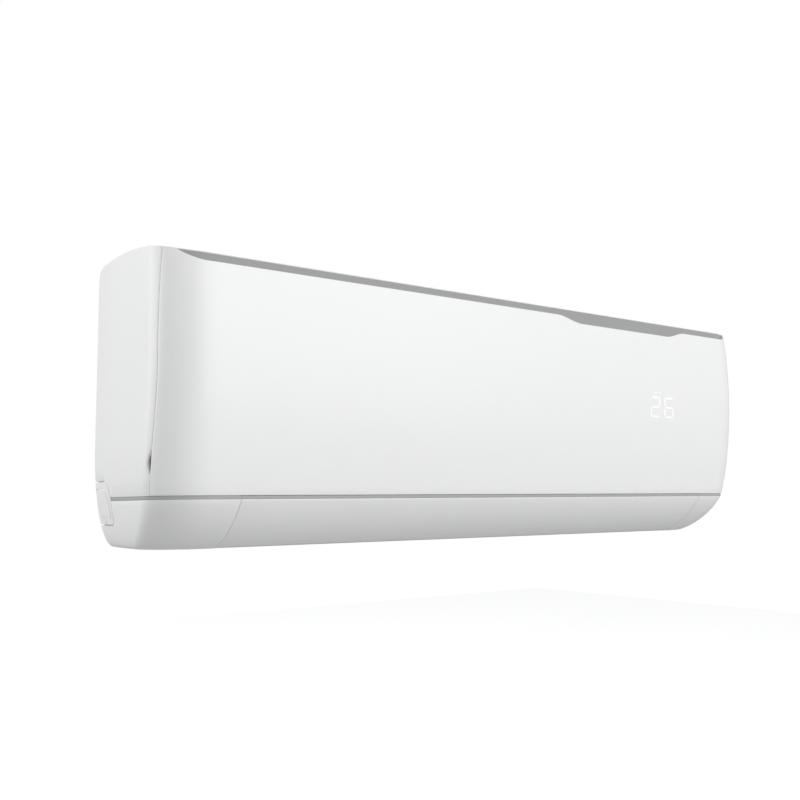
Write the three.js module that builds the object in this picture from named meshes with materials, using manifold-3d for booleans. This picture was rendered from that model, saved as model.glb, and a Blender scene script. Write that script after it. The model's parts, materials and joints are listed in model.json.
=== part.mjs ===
// Wall-mounted indoor unit of a split air conditioner.
// Millimetres. x runs to the right as the unit is faced, d is the depth in front of the wall
// (d = -y), and z is the height above the underside. The finished group is moved so that its
// origin is the middle of the mounting plate's wall face.
import * as THREE from "three";
import { mergeVertices } from "three/addons/utils/BufferGeometryUtils.js";
import Module from "manifold-3d";

const wasm = await Module();
wasm.setup();

// Outer form
const LENGTH = 835;
const HEIGHT = 285;
const DEPTH = 192.4; // at the fullest height of the front
const FULLEST_Z = 195;
const FRONT_BOW = 590; // radius of the front in side view
const CHIN_TOP = 46;
const CHIN_FOOT = 114; // depth of the chin where it meets the underside
const CHIN_BOW = 112.5;
const TOP_FLAT = 55; // depth over which the top is level
const TOP_BOW = 530;
const REAR_ROUND = 12; // radius of the rear top edge
const CORNER_X = 50;
const CORNER_D = 42;
const FOOT_TAPER_Z = 100; // height below which the ends draw in
const FOOT_TAPER_X = 22;
const REAR_TAPER_D = 65; // depth behind which the ends draw in
const REAR_TAPER_X = 3;

// Walls and clearances
const WALL = 2.5;
const GAP = 0.3;
const SEAM = 0.5;

// Front panel, strip and band
const STRIP_HIGH = 3.6;
const STRIP_THICK = 1.2;
const PANEL_DROP = 23;
const PANEL_TOP = HEIGHT - PANEL_DROP;
const PANEL_DIP = 7.4;
const DIP_LEFT = 66.6;
const DIP_FLOOR_LEFT = 101;
const DIP_FLOOR_RIGHT = 264.3;
const DIP_RIGHT = 295.3;
const SWEEP_UP_IN = 43.5; // how far from the ends the panel's top edge starts to rise
const SWEEP_UP_X = LENGTH / 2 - SWEEP_UP_IN;
const SWEEP_RADIUS = 45;
const SWEEP_END = 322; // degrees
const SEAM_D = 161.5;
const HINGE_D = 157.5;
const HINGE_DROP = 15.5;
const HINGE_Z = HEIGHT - HINGE_DROP;
const HINGE_CLEAR = 6.3; // radius of the seam round the panel's hinge
const HINGE_PIN = 2;
const ARM_THICK = 3;
const BAND_INSET = 3.2;
const BAND_THICK = 2.2;
const BAND_HIDDEN = 12; // part of the band behind the panel
const BAND_LOW = PANEL_TOP - BAND_HIDDEN;
const NOTCH_LOW = 68;
const NOTCH_HIGH = 91;
const NOTCH_DEEP = 5;
const RIB_IN = 97.5; // outermost short ribs of the panel from the ends
const LEDGE_THICK = 2;
const LEDGE_DEEP = 14.5; // how far the ledge backs the panel's wing
const LEDGE_FRONT = SEAM_D + LEDGE_DEEP;

// Outlet
const CHIN_END = 82.8; // length of each end's piece of the chin
const LOUVER_HALF = LENGTH / 2 - CHIN_END;
const LOUVER_THICK = 3;
const LOUVER_D = 122;
const LOUVER_Z = 18;
const LOUVER_PIN = 2.7;
const LOUVER_SIDE = 0.7; // gap between the louver and the duct's ends
const DUCT_HALF = LOUVER_HALF + LOUVER_SIDE;
const FLOOR_LIP = 110; // front edge of the underside
const LOUVER_HEEL = 114.5; // depth of the louver's rear edge

// Fan
const FAN_D = 89;
const FAN_Z = 116;
const FAN_RADIUS = 47;
const FAN_SIDE = 9.4; // gap between the fan and the duct's ends
const FAN_HALF = DUCT_HALF - FAN_SIDE;
const FAN_HUB = 12;
const FAN_RING_BORE = 33;
const FAN_DISC = 2;
const FAN_SEGMENTS = 4;
const FAN_BLADES = 18;
const BLADE_THICK = 1.4;
const BLADE_CAMBER = 3.4;
const BLADE_LEAN = 24; // degrees from the radius
const FAN_CLEAR = 5;
const SHAFT_RADIUS = 4;

// Scroll behind the fan
const SCROLL_START = 118; // degrees round the fan, 0 pointing at the front, 90 up
const SCROLL_END = 235;
const SCROLL_GROWTH = 18;
const FLOOR_END_D = 101;
const FLOOR_END_Z = 12;
const REAR_TROUGH = { rear: 28, front: 63, floor: 167, top: 177 };

// Rear
const BACK_D = 9.5;
const BACK_LOW = 69;
const BACK_DROP = 13;
const BACK_HIGH = HEIGHT - BACK_DROP;
const WEB_IN = 35.4; // outer webs of the chassis from the duct's ends
const FOOT_IN = 25.4;
const BACK_IN = 7.1;
const BACK_HALF = LENGTH / 2 - BACK_IN;
const PLATE_THICK = 1.5;
const PLATE_IN = 67.5;
const PLATE_HALF = LENGTH / 2 - PLATE_IN;
const PLATE_HOLE_IN = 50; // outermost screw holes from the plate's ends
const PLATE_LOW = 76;
const PLATE_DROP = 14; // below the chassis' upper edge
const PLATE_HIGH = BACK_HIGH - PLATE_DROP;
const PLATE_STAND = 8;
const HOOK_IN = 100; // outer hooks from the plate's ends
const HOOKS = [HOOK_IN - PLATE_HALF, 0, PLATE_HALF - HOOK_IN];
const HOOK_WIDE = 26;
const HOOK_RISE = 12;
const KNOCKOUT = { low: 22, high: 66, front: 50, round: 18 };

// Drain pan
const PAN_CHANNELS = 5;
const PAN_RIB = 6;
const PAN_RIB_IN = 0.4;

// Evaporator
const SLAB_SIDE = 7.4; // between the slabs and the duct's ends
const SLAB_HALF = DUCT_HALF - SLAB_SIDE;
const SLAB_THICK = 22;
const FRONT_SLAB_D = 152; // middle of the upright slab
const FRONT_SLAB_LOW = 106;
const FRONT_SLAB_HIGH = 190;
const UPPER_SLAB = [[143, 202], [120, 250]];
const REAR_SLAB = [[98, 256], [46, 188]];
const TUBE_PITCH = 21;
const TUBE_RADIUS = 3.5;
const TUBE_ROWS = 11; // distance between the two rows of tubes
const SHEET_THICK = 1.5;

// Filters
const FILTER_D = 170;
const FILTER_THICK = 3.2;
const FILTER_LOW = 93;
const FILTER_INNER = 8.5;
const FILTER_SIDE = 17.2;
const FILTER_OUTER = LOUVER_HALF - FILTER_SIDE;
const FILTER_RIM = 8;

// Vanes
const VANES_PER_BANK = 6;
const VANE_SIDE = 23.4; // between the outermost vanes' share and the duct's ends
const VANE_PITCH = (DUCT_HALF - VANE_SIDE) / VANES_PER_BANK;
const VANE_THICK = 1.6;
const VANE_S = 38; // distance of the pins down the duct floor's straight part
const VANE_PIN = 2.2;
const LINK_U = 19;
const LINK_N = 30.5;
const LINK_WIDE = 4;
const LINK_THICK = 2.2;
const LINK_SLOT = 5.4;
const LINK_PEG = 1;

// Grille
const GRILLE_IN = 22.8; // width of each end cover's piece of the top
const GRILLE_HALF = LENGTH / 2 - GRILLE_IN;
const GRILLE_FRONT = HINGE_D - GAP;
const GRILLE_COLUMNS = 10;
const GRILLE_ROWS = 3;
const GRILLE_BAR = 4;

// Electrics and motor
const MOTOR_RADIUS = 36;
const MOTOR_SIDE = 5.6; // between the duct's end and the motor
const MOTOR_START = DUCT_HALF + MOTOR_SIDE;
const MOTOR_LONG = 48;
const BOX_WIDE = 45;
const BOX_IN = 20.5; // from the unit's end
const BOX_RIGHT = LENGTH / 2 - BOX_IN;
const BOX = { left: BOX_RIGHT - BOX_WIDE, right: BOX_RIGHT, rear: 129, front: 166, low: 98, high: 250 };
const DISPLAY_IN = 169.5; // middle of the display from the unit's right end
const DISPLAY = { x: LENGTH / 2 - DISPLAY_IN, z: 163, wide: 56, high: 40 };
const BUTTON_STEP = 44; // from the display's middle
const BUTTON_X = DISPLAY.x + BUTTON_STEP;
const BUTTON_Z = 150;
const BUTTON_RADIUS = 3.5;
const BUTTON_OUT = 1.2;
const STEPPER_RADIUS = 10;
const STEPPER_LONG = 15;

// Pipes
const PIPE_D = 26;
const GAS = { radius: 4.8, z: 50, end: -60, rise: SLAB_HALF + 22, row: 1 };
const LIQUID = { radius: 3.2, z: 34, end: -100, rise: SLAB_HALF + 36, row: 0 };
const CLAMP_IN = 150; // from the gas pipe's upright run

// Materials
const looks = {
  shell: { color: 0xf1f1ef, roughness: 0.42, metalness: 0 },
  silver: { color: 0xb0b2b3, roughness: 0.38, metalness: 0.35 },
  inner: { color: 0xe3e4e2, roughness: 0.55, metalness: 0 },
  dark: { color: 0x3a3c3e, roughness: 0.6, metalness: 0 },
  steel: { color: 0xb9bcbe, roughness: 0.45, metalness: 0.9 },
  fins: { color: 0xc8ccd0, roughness: 0.4, metalness: 0.9 },
  copper: { color: 0xb87342, roughness: 0.35, metalness: 0.95 },
  brass: { color: 0xc9a250, roughness: 0.35, metalness: 0.95 },
  rubber: { color: 0x2a2b2c, roughness: 0.85, metalness: 0 },
  board: { color: 0x2f6b45, roughness: 0.5, metalness: 0 },
  mesh: { color: 0x6d7276, roughness: 0.7, metalness: 0 },
};

const radians = THREE.MathUtils.degToRad;

// ---------------------------------------------------------------- solids

/** A closed geometry as a solid that can be joined and cut. */
function solid(geometry) {
  geometry.deleteAttribute("normal");
  geometry.deleteAttribute("uv");
  const merged = mergeVertices(geometry, 1e-4);
  return new wasm.Manifold(
    new wasm.Mesh({
      numProp: 3,
      vertProperties: merged.attributes.position.array,
      triVerts: new Uint32Array(merged.index.array),
    }),
  );
}

function join(...bodies) {
  return bodies.flat().reduce((whole, body) => whole.add(body));
}

function cut(body, ...tools) {
  return tools.flat().reduce((rest, tool) => rest.subtract(tool), body);
}

/** A named mesh of a solid. */
function part(name, body, look) {
  const data = body.getMesh();
  const geometry = new THREE.BufferGeometry();
  geometry.setAttribute("position", new THREE.BufferAttribute(data.vertProperties, 3));
  geometry.setIndex(new THREE.BufferAttribute(data.triVerts, 1));
  geometry.computeVertexNormals();
  const material = new THREE.MeshStandardMaterial({ ...looks[look], flatShading: true });
  const mesh = new THREE.Mesh(geometry, material);
  mesh.name = name;
  return mesh;
}

function prism(points, length, basis) {
  const shape = new THREE.Shape(points.map(([a, b]) => new THREE.Vector2(a, b)));
  const geometry = new THREE.ExtrudeGeometry(shape, { depth: length, bevelEnabled: false });
  geometry.applyMatrix4(basis);
  return solid(geometry);
}

const ALONG_X = new THREE.Vector3(1, 0, 0);
const ALONG_Y = new THREE.Vector3(0, 1, 0);
const ALONG_Z = new THREE.Vector3(0, 0, 1);
const FORWARD = new THREE.Vector3(0, -1, 0);

/** An outline of (d, z) points carried along x. */
function sidePrism(points, x0, x1) {
  const basis = new THREE.Matrix4().makeBasis(ALONG_Y, ALONG_Z, ALONG_X).setPosition(x0, 0, 0);
  return prism(points.map(([d, z]) => [-d, z]), x1 - x0, basis);
}

/** An outline of (x, z) points carried forward from depth d0 to d1. */
function frontPrism(points, d0, d1) {
  const basis = new THREE.Matrix4().makeBasis(ALONG_X, ALONG_Z, FORWARD).setPosition(0, -d0, 0);
  return prism(points, d1 - d0, basis);
}

function box(x0, x1, d0, d1, z0, z1) {
  const geometry = new THREE.BoxGeometry(x1 - x0, d1 - d0, z1 - z0);
  geometry.translate((x0 + x1) / 2, -(d0 + d1) / 2, (z0 + z1) / 2);
  return solid(geometry);
}

/** Points of a circular arc round (a, b), from one angle to another in degrees. */
function arc(a, b, radius, from, to, steps) {
  return Array.from({ length: steps + 1 }, (_, i) => {
    const angle = radians(from + ((to - from) * i) / steps);
    return [a + radius * Math.cos(angle), b + radius * Math.sin(angle)];
  });
}

function circle(a, b, radius, sides) {
  return arc(a, b, radius, 0, 360 - 360 / sides, sides - 1);
}

function rodX(radius, x0, x1, d, z, sides = 24) {
  return sidePrism(circle(d, z, radius, sides), x0, x1);
}

function rodY(radius, x, z, d0, d1, sides = 24) {
  return frontPrism(circle(x, z, radius, sides), d0, d1);
}

/** The closed outline of a wall of even thickness that lies to the left of a path. */
function wallOutline(path, thick) {
  const sides = path.slice(1).map(([a, b], i) => {
    const run = new THREE.Vector2(a - path[i][0], b - path[i][1]).normalize();
    return new THREE.Vector2(-run.y, run.x);
  });
  const far = path.map(([a, b], i) => {
    const before = sides[Math.max(i - 1, 0)];
    const after = sides[Math.min(i, sides.length - 1)];
    const middle = before.clone().add(after);
    const reach = (2 * thick) / middle.lengthSq();
    return [a + middle.x * reach, b + middle.y * reach];
  });
  return [...path, ...far.reverse()];
}

function mirrored(body) {
  return body.mirror([1, 0, 0]);
}

// ---------------------------------------------------------------- the outer form

function bowDepth(z) {
  return DEPTH - FRONT_BOW + Math.sqrt(FRONT_BOW ** 2 - (z - FULLEST_Z) ** 2);
}

/** Centre of the chin's arc, which runs from the front's foot to the underside. */
function chinCentre() {
  const top = new THREE.Vector2(bowDepth(CHIN_TOP), CHIN_TOP);
  const foot = new THREE.Vector2(CHIN_FOOT, 0);
  const chord = top.clone().sub(foot);
  const inward = new THREE.Vector2(-chord.y, chord.x).normalize();
  const reach = Math.sqrt(CHIN_BOW ** 2 - chord.lengthSq() / 4);
  return top.add(foot).multiplyScalar(0.5).addScaledVector(inward, reach);
}

const CHIN = chinCentre();

function frontDepth(z) {
  if (z >= CHIN_TOP) return bowDepth(z);
  return CHIN.x + Math.sqrt(CHIN_BOW ** 2 - (z - CHIN.y) ** 2);
}

/** How much longer a level cut through the front is than the wall's own thickness. */
function frontLean(z) {
  if (z >= CHIN_TOP) return 1;
  return CHIN_BOW / (frontDepth(z) - CHIN.x);
}

function topHeight(d) {
  if (d <= TOP_FLAT) return HEIGHT;
  return HEIGHT - TOP_BOW + Math.sqrt(TOP_BOW ** 2 - (d - TOP_FLAT) ** 2);
}

function footInset(z) {
  const reach = Math.max(FOOT_TAPER_Z - z, 0) / FOOT_TAPER_Z;
  return FOOT_TAPER_X * (1 - Math.sqrt(1 - reach ** 2));
}

/** How far the ends draw in toward the rear: two flats, the rear one the steeper. */
function rearInset(d) {
  const share = (REAR_TAPER_D - d) / REAR_TAPER_D;
  return REAR_TAPER_X * Math.max(0, share * 0.5, share * 1.5 - 0.5);
}

const CHIN_STEPS = 4;
const FRONT_STEPS = 6;
const CORNER_STEPS = 5;
const LEVELS = [
  ...Array.from({ length: CHIN_STEPS }, (_, i) => CHIN_TOP * (i / CHIN_STEPS) ** 1.6),
  ...Array.from({ length: FRONT_STEPS + 1 }, (_, i) => CHIN_TOP + ((HEIGHT - CHIN_TOP) * i) / FRONT_STEPS),
];

/** The unit's plan at one height, drawn in by an inset, as points counterclockwise from above. */
function plan(z, inset, rear) {
  const half = LENGTH / 2 - footInset(z) - inset;
  const front = frontDepth(z) - inset * frontLean(z);
  const roundX = CORNER_X - inset;
  const roundD = CORNER_D - inset;
  const side = [rear, REAR_TAPER_D / 2, REAR_TAPER_D].map((d) => [half - rearInset(d), d]);
  const corner = arc(0, 0, 1, 0, 90, CORNER_STEPS).map(([a, b]) => [
    half - roundX + roundX * a,
    front - roundD + roundD * b,
  ]);
  const right = [...side, ...corner];
  const left = right.map(([x, d]) => [-x, d]);
  return [...left, ...right.reverse()];
}

/** How far out the wall at an inset reaches at a depth within the front corner. */
function cornerX(d, z, inset) {
  const share = (d - frontDepth(z) + CORNER_D) / (CORNER_D - inset);
  return LENGTH / 2 - CORNER_X + (CORNER_X - inset) * Math.sqrt(1 - share ** 2);
}

/** The space inside the unit's walls at an inset, as one loft between level plans. */
function form(inset, rear = 0, low = 0, high = HEIGHT) {
  const levels = [low, ...LEVELS.filter((z) => z > low && z < high), high];
  const rings = levels.map((z) => plan(THREE.MathUtils.clamp(z, 0, HEIGHT), inset, rear));
  const count = rings[0].length;
  const positions = rings.flatMap((ring, k) => ring.flatMap(([x, d]) => [x, -d, levels[k]]));
  const index = [];
  for (let k = 0; k + 1 < rings.length; k += 1) {
    for (let i = 0; i < count; i += 1) {
      const a = k * count + i;
      const b = k * count + ((i + 1) % count);
      index.push(a, b, b + count, a, b + count, a + count);
    }
  }
  const top = (rings.length - 1) * count;
  for (let i = 1; i + 1 < count; i += 1) {
    index.push(0, i + 1, i, top, top + i, top + i + 1);
  }
  const geometry = new THREE.BufferGeometry();
  geometry.setAttribute("position", new THREE.Float32BufferAttribute(positions, 3));
  geometry.setIndex(index);
  return solid(geometry);
}

const BEYOND = 20;

/** The wall between two insets and two heights, open at the rear, the top and the bottom. */
function skin(outer, inner, low = 0, high = HEIGHT) {
  const hollow = form(inner, -BEYOND, -BEYOND, HEIGHT + BEYOND);
  const wall = form(outer).subtract(hollow);
  return wall.intersect(box(-LENGTH, LENGTH, -BEYOND, DEPTH + BEYOND, low, high));
}

/** Everything below the top surface, drawn down by an inset. */
function underTop(inset, x0 = -LENGTH, x1 = LENGTH) {
  const steps = 5;
  const curve = Array.from({ length: steps + 1 }, (_, i) => {
    const d = TOP_FLAT + ((DEPTH + BEYOND - TOP_FLAT) * i) / steps;
    return [d, topHeight(d) - inset];
  });
  const round = arc(REAR_ROUND, HEIGHT - REAR_ROUND, REAR_ROUND - inset, 180, 90, 3);
  return sidePrism([[inset, -BEYOND], ...round, ...curve, [DEPTH + BEYOND, -BEYOND]], x0, x1);
}

/** The top wall, with its rounded rear edge, between two places along x. */
function topSkin(x0, x1, low) {
  const wall = underTop(0, x0, x1).subtract(underTop(WALL, x0 - 1, x1 + 1));
  return wall.intersect(box(x0, x1, -1, DEPTH + BEYOND, low, HEIGHT + 1)).intersect(form(0));
}

// ---------------------------------------------------------------- front

const STRIP_START = KNOCKOUT.front + SEAM;
const STRIP_LOW = CHIN_TOP + SEAM / 2;
const STRIP_TOP = STRIP_LOW + STRIP_HIGH;
const PANEL_LOW = STRIP_TOP + SEAM;

/** The panel's outline as it is faced: a long dip in the top edge, which rises to both corners. */
function panelFace() {
  const half = LENGTH / 2 + 1;
  const rise = arc(SWEEP_UP_X, PANEL_TOP + SWEEP_RADIUS, SWEEP_RADIUS, 270, SWEEP_END, 4);
  const edge = [
    [-half, HEIGHT],
    ...rise.map(([x, z]) => [-x, z]).reverse(),
    [DIP_LEFT, PANEL_TOP],
    [DIP_FLOOR_LEFT, PANEL_TOP - PANEL_DIP],
    [DIP_FLOOR_RIGHT, PANEL_TOP - PANEL_DIP],
    [DIP_RIGHT, PANEL_TOP],
    ...rise,
    [half, HEIGHT],
  ];
  return frontPrism([[-half, PANEL_LOW], ...edge, [half, PANEL_LOW]], 0, DEPTH + 1);
}

/** What lies in front of the seam: upright, then an arc round the hinge, both moved by a gap. */
function beforeSeam(gap) {
  const radius = HINGE_CLEAR - gap;
  const seam = SEAM_D - gap;
  const meets = THREE.MathUtils.radToDeg(Math.acos((seam - HINGE_D) / radius));
  const round = arc(HINGE_D, HINGE_Z, radius, -meets, 75, 6);
  const outline = [
    [seam, 0],
    ...round,
    [HINGE_D + radius * Math.cos(radians(75)), HEIGHT + 1],
    [DEPTH + 1, HEIGHT + 1],
    [DEPTH + 1, 0],
  ];
  return sidePrism(outline, -LENGTH, LENGTH);
}

/** The crescent cut at the seam where a finger pulls the panel open. */
function fingerNotch(inset) {
  const high = (NOTCH_HIGH - NOTCH_LOW) / 2 - inset;
  const middle = (NOTCH_HIGH + NOTCH_LOW) / 2;
  const deep = NOTCH_DEEP - inset;
  const radius = (high ** 2 + deep ** 2) / (2 * deep);
  const half = THREE.MathUtils.radToDeg(Math.asin(high / radius));
  const centre = SEAM_D - deep + radius;
  const curve = arc(centre, middle, radius, 180 - half, 180 + half, 5);
  return sidePrism([...curve, [SEAM_D + 1, middle - high], [SEAM_D + 1, middle + high]], -LENGTH, LENGTH);
}

const ARM_OUT = cornerX(SEAM_D, HINGE_Z, WALL) - SEAM;
const ARM_IN = ARM_OUT - ARM_THICK;

const BEFORE_HINGE = HINGE_D + HINGE_CLEAR + SEAM;

/** The arm inside the panel's wing that reaches back to the hinge, with its pin. */
function hingeArm() {
  const tongue = [
    ...arc(HINGE_D, HINGE_Z, HINGE_PIN, 90, 270, 6),
    [SEAM_D + 3, HINGE_Z - 12],
    [SEAM_D + 12, HINGE_Z - 12],
    [SEAM_D + 12, HINGE_Z - 1.5],
  ];
  const plate = sidePrism(tongue, ARM_IN, ARM_OUT);
  const foot = box(ARM_IN, LENGTH / 2, BEFORE_HINGE, SEAM_D + 12, HINGE_Z - 12, HINGE_Z - 1.5);
  const pin = rodX(HINGE_PIN, ARM_IN - 7, ARM_IN + 1, HINGE_D, HINGE_Z, 12);
  return join(plate, foot, pin).intersect(form(WALL / 2));
}

/** Two long ribs and short ones between them stiffen the panel's back. */
function panelRibs() {
  const reach = LENGTH / 2 - CORNER_X - 10;
  const high = 1.6;
  const wide = 1.6;
  const long = [104, 222].map((z) => box(-reach, reach, 150, DEPTH, z, z + wide));
  const outer = LENGTH / 2 - RIB_IN;
  const short = [-1, -0.5, 0, 0.5, 1].map((share) => share * outer).map((x) => box(x, x + wide, 150, DEPTH, 104, 222));
  return join(long, short).intersect(skin(WALL - 0.5, WALL + high));
}

function frontPanel() {
  const wall = skin(0, WALL, PANEL_LOW - 1, HEIGHT);
  const shell = wall.intersect(panelFace()).intersect(beforeSeam(0)).intersect(underTop(0));
  const arm = hingeArm();
  return join(shell, panelRibs(), arm, mirrored(arm));
}

function accentStrip() {
  const ring = skin(0, STRIP_THICK, STRIP_LOW, STRIP_TOP);
  return ring.intersect(box(-LENGTH, LENGTH, STRIP_START, DEPTH + 1, 0, HEIGHT));
}

function topBand() {
  const wall = skin(BAND_INSET, BAND_INSET + BAND_THICK, BAND_LOW, HEIGHT);
  const reach = ARM_IN - SEAM;
  const front = box(-reach, reach, BEFORE_HINGE, DEPTH, BAND_LOW, HEIGHT);
  const shaped = wall.intersect(front).intersect(underTop(0.6));
  const pin = hingeBlockZone(0.6);
  return cut(shaped, pin, mirrored(pin));
}

/** Where the hinge block of the frame lies at the right end, grown by a gap. */
function hingeBlockZone(gap) {
  const right = ARM_IN - SEAM + gap;
  return box(right - 8 - gap, right, HINGE_D - 5 - gap, HINGE_D + 6 + gap, HINGE_Z - 9 - gap, HINGE_Z + 2);
}

const FRAME_OUT = WALL + LEDGE_THICK + 0.6;
const FRAME_IN = FRAME_OUT + WALL;
const RAIL_REAR = GRILLE_FRONT + GAP;

/** Openings of one filter window: a grid of cells that leaves out those behind the display. */
function windowCells() {
  const columns = 4;
  const rows = 2;
  const bar = 4;
  const left = FILTER_INNER + 4;
  const wide = (FILTER_OUTER - 4 - left - bar * (columns - 1)) / columns;
  const low = FILTER_LOW + 6;
  const high = (BAND_LOW - 8 - low - bar * (rows - 1)) / rows;
  const cells = [];
  for (let column = 0; column < columns; column += 1) {
    for (let row = 0; row < rows; row += 1) {
      const x = left + column * (wide + bar);
      const z = low + row * (high + bar);
      cells.push(box(x, x + wide, 130, DEPTH, z, z + high));
    }
  }
  return cells;
}

function displayPatch() {
  const { x, z, wide, high } = DISPLAY;
  const right = BUTTON_X + 10;
  const rim = 6;
  return box(x - wide / 2 - rim, right, 150, DEPTH, z - high / 2 - rim, z + high / 2 + rim);
}

/** Rails that hold one filter: two edge walls with lips behind them, and a foot. */
function filterRails() {
  const rear = FILTER_D - 2.8;
  const lip = 2.2;
  const wallThick = 2.2;
  const edges = [
    [FILTER_INNER - GAP - wallThick, FILTER_INNER - GAP, FILTER_INNER - GAP + 4],
    [FILTER_OUTER + GAP, FILTER_OUTER + GAP + wallThick, FILTER_OUTER + GAP - 4],
  ];
  const walls = edges.flatMap(([x0, x1, reach]) => [
    box(x0, x1, rear, DEPTH, FILTER_LOW - 3, BAND_LOW),
    box(Math.min(x0, reach), Math.max(x1, reach), rear, rear + lip, FILTER_LOW - 3, BAND_LOW),
  ]);
  const foot = box(FILTER_INNER - 2, FILTER_OUTER + 2, rear, DEPTH, FILTER_LOW - 3, FILTER_LOW - GAP);
  return join(walls, foot);
}

function frontFrame() {
  const half = ARM_IN - SEAM;
  const body = skin(FRAME_OUT, FRAME_IN, PANEL_LOW - 1, BAND_LOW - GAP);
  const foot = skin(STRIP_THICK + GAP, FRAME_IN, STRIP_LOW + GAP, PANEL_LOW - 0.6);
  const footZone = box(-LOUVER_HALF, LOUVER_HALF, 100, DEPTH, 0, HEIGHT);
  const wings = box(-LENGTH, LENGTH, HINGE_D - 8, DEPTH, 0, HEIGHT);
  const walls = join(body.intersect(wings), foot.intersect(footZone));
  const cells = windowCells();
  const openings = cut(join(cells, cells.map(mirrored)), displayPatch());
  const railZone = join(
    box(-GRILLE_HALF, GRILLE_HALF, RAIL_REAR, DEPTH, BAND_LOW - 4, HEIGHT),
    box(-half, half, BEFORE_HINGE, DEPTH, BAND_LOW - 4, HEIGHT),
  );
  const inside = form(BAND_INSET + BAND_THICK + GAP);
  const rail = join(
    topSkin(-half, half, BAND_LOW),
    skin(BAND_INSET + BAND_THICK + GAP, FRAME_IN, BAND_LOW - 5, HEIGHT),
  ).intersect(railZone).intersect(inside).intersect(underTop(0));
  const rails = filterRails().intersect(form(FRAME_OUT + 1));
  const block = hingeBlockZone(0);
  const shelf = box(half - 40, half, RAIL_REAR, HINGE_D + 24, HINGE_Z - 9, HINGE_Z - 6.5).intersect(inside);
  const post = box(GRILLE_HALF - 14, GRILLE_HALF, RAIL_REAR, HINGE_D + 6, HINGE_Z - 8, HINGE_Z + 3);
  const bore = rodX(HINGE_PIN + 0.4, half - 9, LENGTH / 2, HINGE_D, HINGE_Z, 12);
  const hinge = join(block, shelf, post);
  const whole = join(cut(walls, openings), rail, rails, mirrored(rails), hinge, mirrored(hinge));
  const slot = box(FILTER_INNER - GAP, FILTER_OUTER + GAP, FILTER_D - 0.5, FILTER_D + FILTER_THICK + 0.5,
    FILTER_LOW - GAP, HEIGHT);
  const { x, z, wide, high } = DISPLAY;
  const light = box(x - wide / 2, x + wide / 2, 150, DEPTH, z - high / 2, z + high / 2);
  const buttonHole = rodY(BUTTON_RADIUS + GAP, BUTTON_X, BUTTON_Z, LEDGE_FRONT, DEPTH, 20);
  return cut(whole, slot, mirrored(slot), light, buttonHole, bore, mirrored(bore));
}

// ---------------------------------------------------------------- ends and top

function knockoutOutline(grow) {
  const { low, high, front, round } = KNOCKOUT;
  const reach = front + grow;
  return [
    [-BEYOND, low - grow],
    ...arc(reach - round, low - grow + round, round, -90, 0, 4),
    ...arc(reach - round, high + grow - round, round, 0, 90, 4),
    [-BEYOND, high + grow],
  ];
}

/** The knock-out cover: a piece of the end wall with an arch and a bar moulded into it. */
function knockoutCover() {
  const { low, high, front, round } = KNOCKOUT;
  const plate = skin(0, WALL).intersect(sidePrism(knockoutOutline(-SEAM / 2), LOUVER_HALF, LENGTH / 2));
  const ledge = skin(WALL - 0.4, WALL + 1.6).intersect(sidePrism(knockoutOutline(-4), LOUVER_HALF, LENGTH / 2));
  const bend = round - 3;
  const inner = front - 12;
  const arch = [
    ...arc(inner - bend, low + 6 + bend, bend, -90, 0, 4),
    ...arc(inner - bend, high - 9 - bend, bend, 0, 90, 4),
  ];
  const line = sidePrism(wallOutline([[2, low + 6], ...arch, [2, high - 9]], 1), LOUVER_HALF, LENGTH);
  const bar = sidePrism(wallOutline([[22, low + 8], [37, low + 8]], 1), LOUVER_HALF, LENGTH);
  const groove = join(line, bar).intersect(skin(-1, 0.6));
  return cut(join(plate, ledge), groove);
}

function endCover() {
  const x0 = LOUVER_HALF + SEAM;
  const upper = box(x0, LENGTH, -1, DEPTH + 1, STRIP_LOW - 1, HEIGHT + 1).subtract(beforeSeam(GAP));
  const lower = box(x0, LENGTH, -1, DEPTH + 1, -1, CHIN_TOP);
  const wall = cut(skin(0, WALL), fingerNotch(0)).intersect(join(upper, lower));
  const underside = form(0).intersect(box(x0, LENGTH, 0, DEPTH, -1, WALL));
  const top = topSkin(GRILLE_HALF + SEAM, LENGTH / 2, BACK_HIGH).subtract(beforeSeam(GAP));
  const ledgeRear = skin(WALL - 0.5, WALL + LEDGE_THICK + GAP, STRIP_LOW, BAND_LOW)
    .intersect(box(x0, LENGTH, SEAM_D - 12, SEAM_D - GAP, 0, HEIGHT));
  const ledge = skin(WALL + GAP, WALL + LEDGE_THICK + GAP, STRIP_LOW, BAND_LOW)
    .intersect(box(x0, LENGTH, SEAM_D - 8, LEDGE_FRONT, 0, HEIGHT));
  const lintel = skin(STRIP_THICK + GAP, WALL + LEDGE_THICK + GAP, CHIN_TOP - 3, PANEL_LOW)
    .intersect(box(x0, LENGTH, STRIP_START, DEPTH, 0, PANEL_LOW - 0.6));
  const stripGroove = skin(-1, STRIP_THICK + GAP, STRIP_LOW - GAP, STRIP_TOP + GAP)
    .intersect(box(0, LENGTH, STRIP_START - GAP, DEPTH + 5, 0, HEIGHT));
  const lip = skin(WALL + 0.3, WALL + 2.3).intersect(sidePrism(knockoutOutline(2.5), LOUVER_HALF, LENGTH));
  const opening = sidePrism(knockoutOutline(0), LOUVER_HALF, LENGTH);
  const inner = sidePrism(knockoutOutline(-3.4), LOUVER_HALF, LENGTH);
  const bead = join(lip, skin(WALL - 0.5, WALL + 2.3).intersect(
    sidePrism(knockoutOutline(2.5), LOUVER_HALF, LENGTH).subtract(opening)));
  const armSlot = box(ARM_IN - SEAM, ARM_OUT + SEAM, HINGE_D - 4, DEPTH, HINGE_Z - 16, HEIGHT);
  const shell = cut(join(wall, underside, top, lintel), opening);
  return cut(join(shell, ledgeRear, ledge, bead), inner, stripGroove, armSlot).intersect(underTop(0));
}

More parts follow.
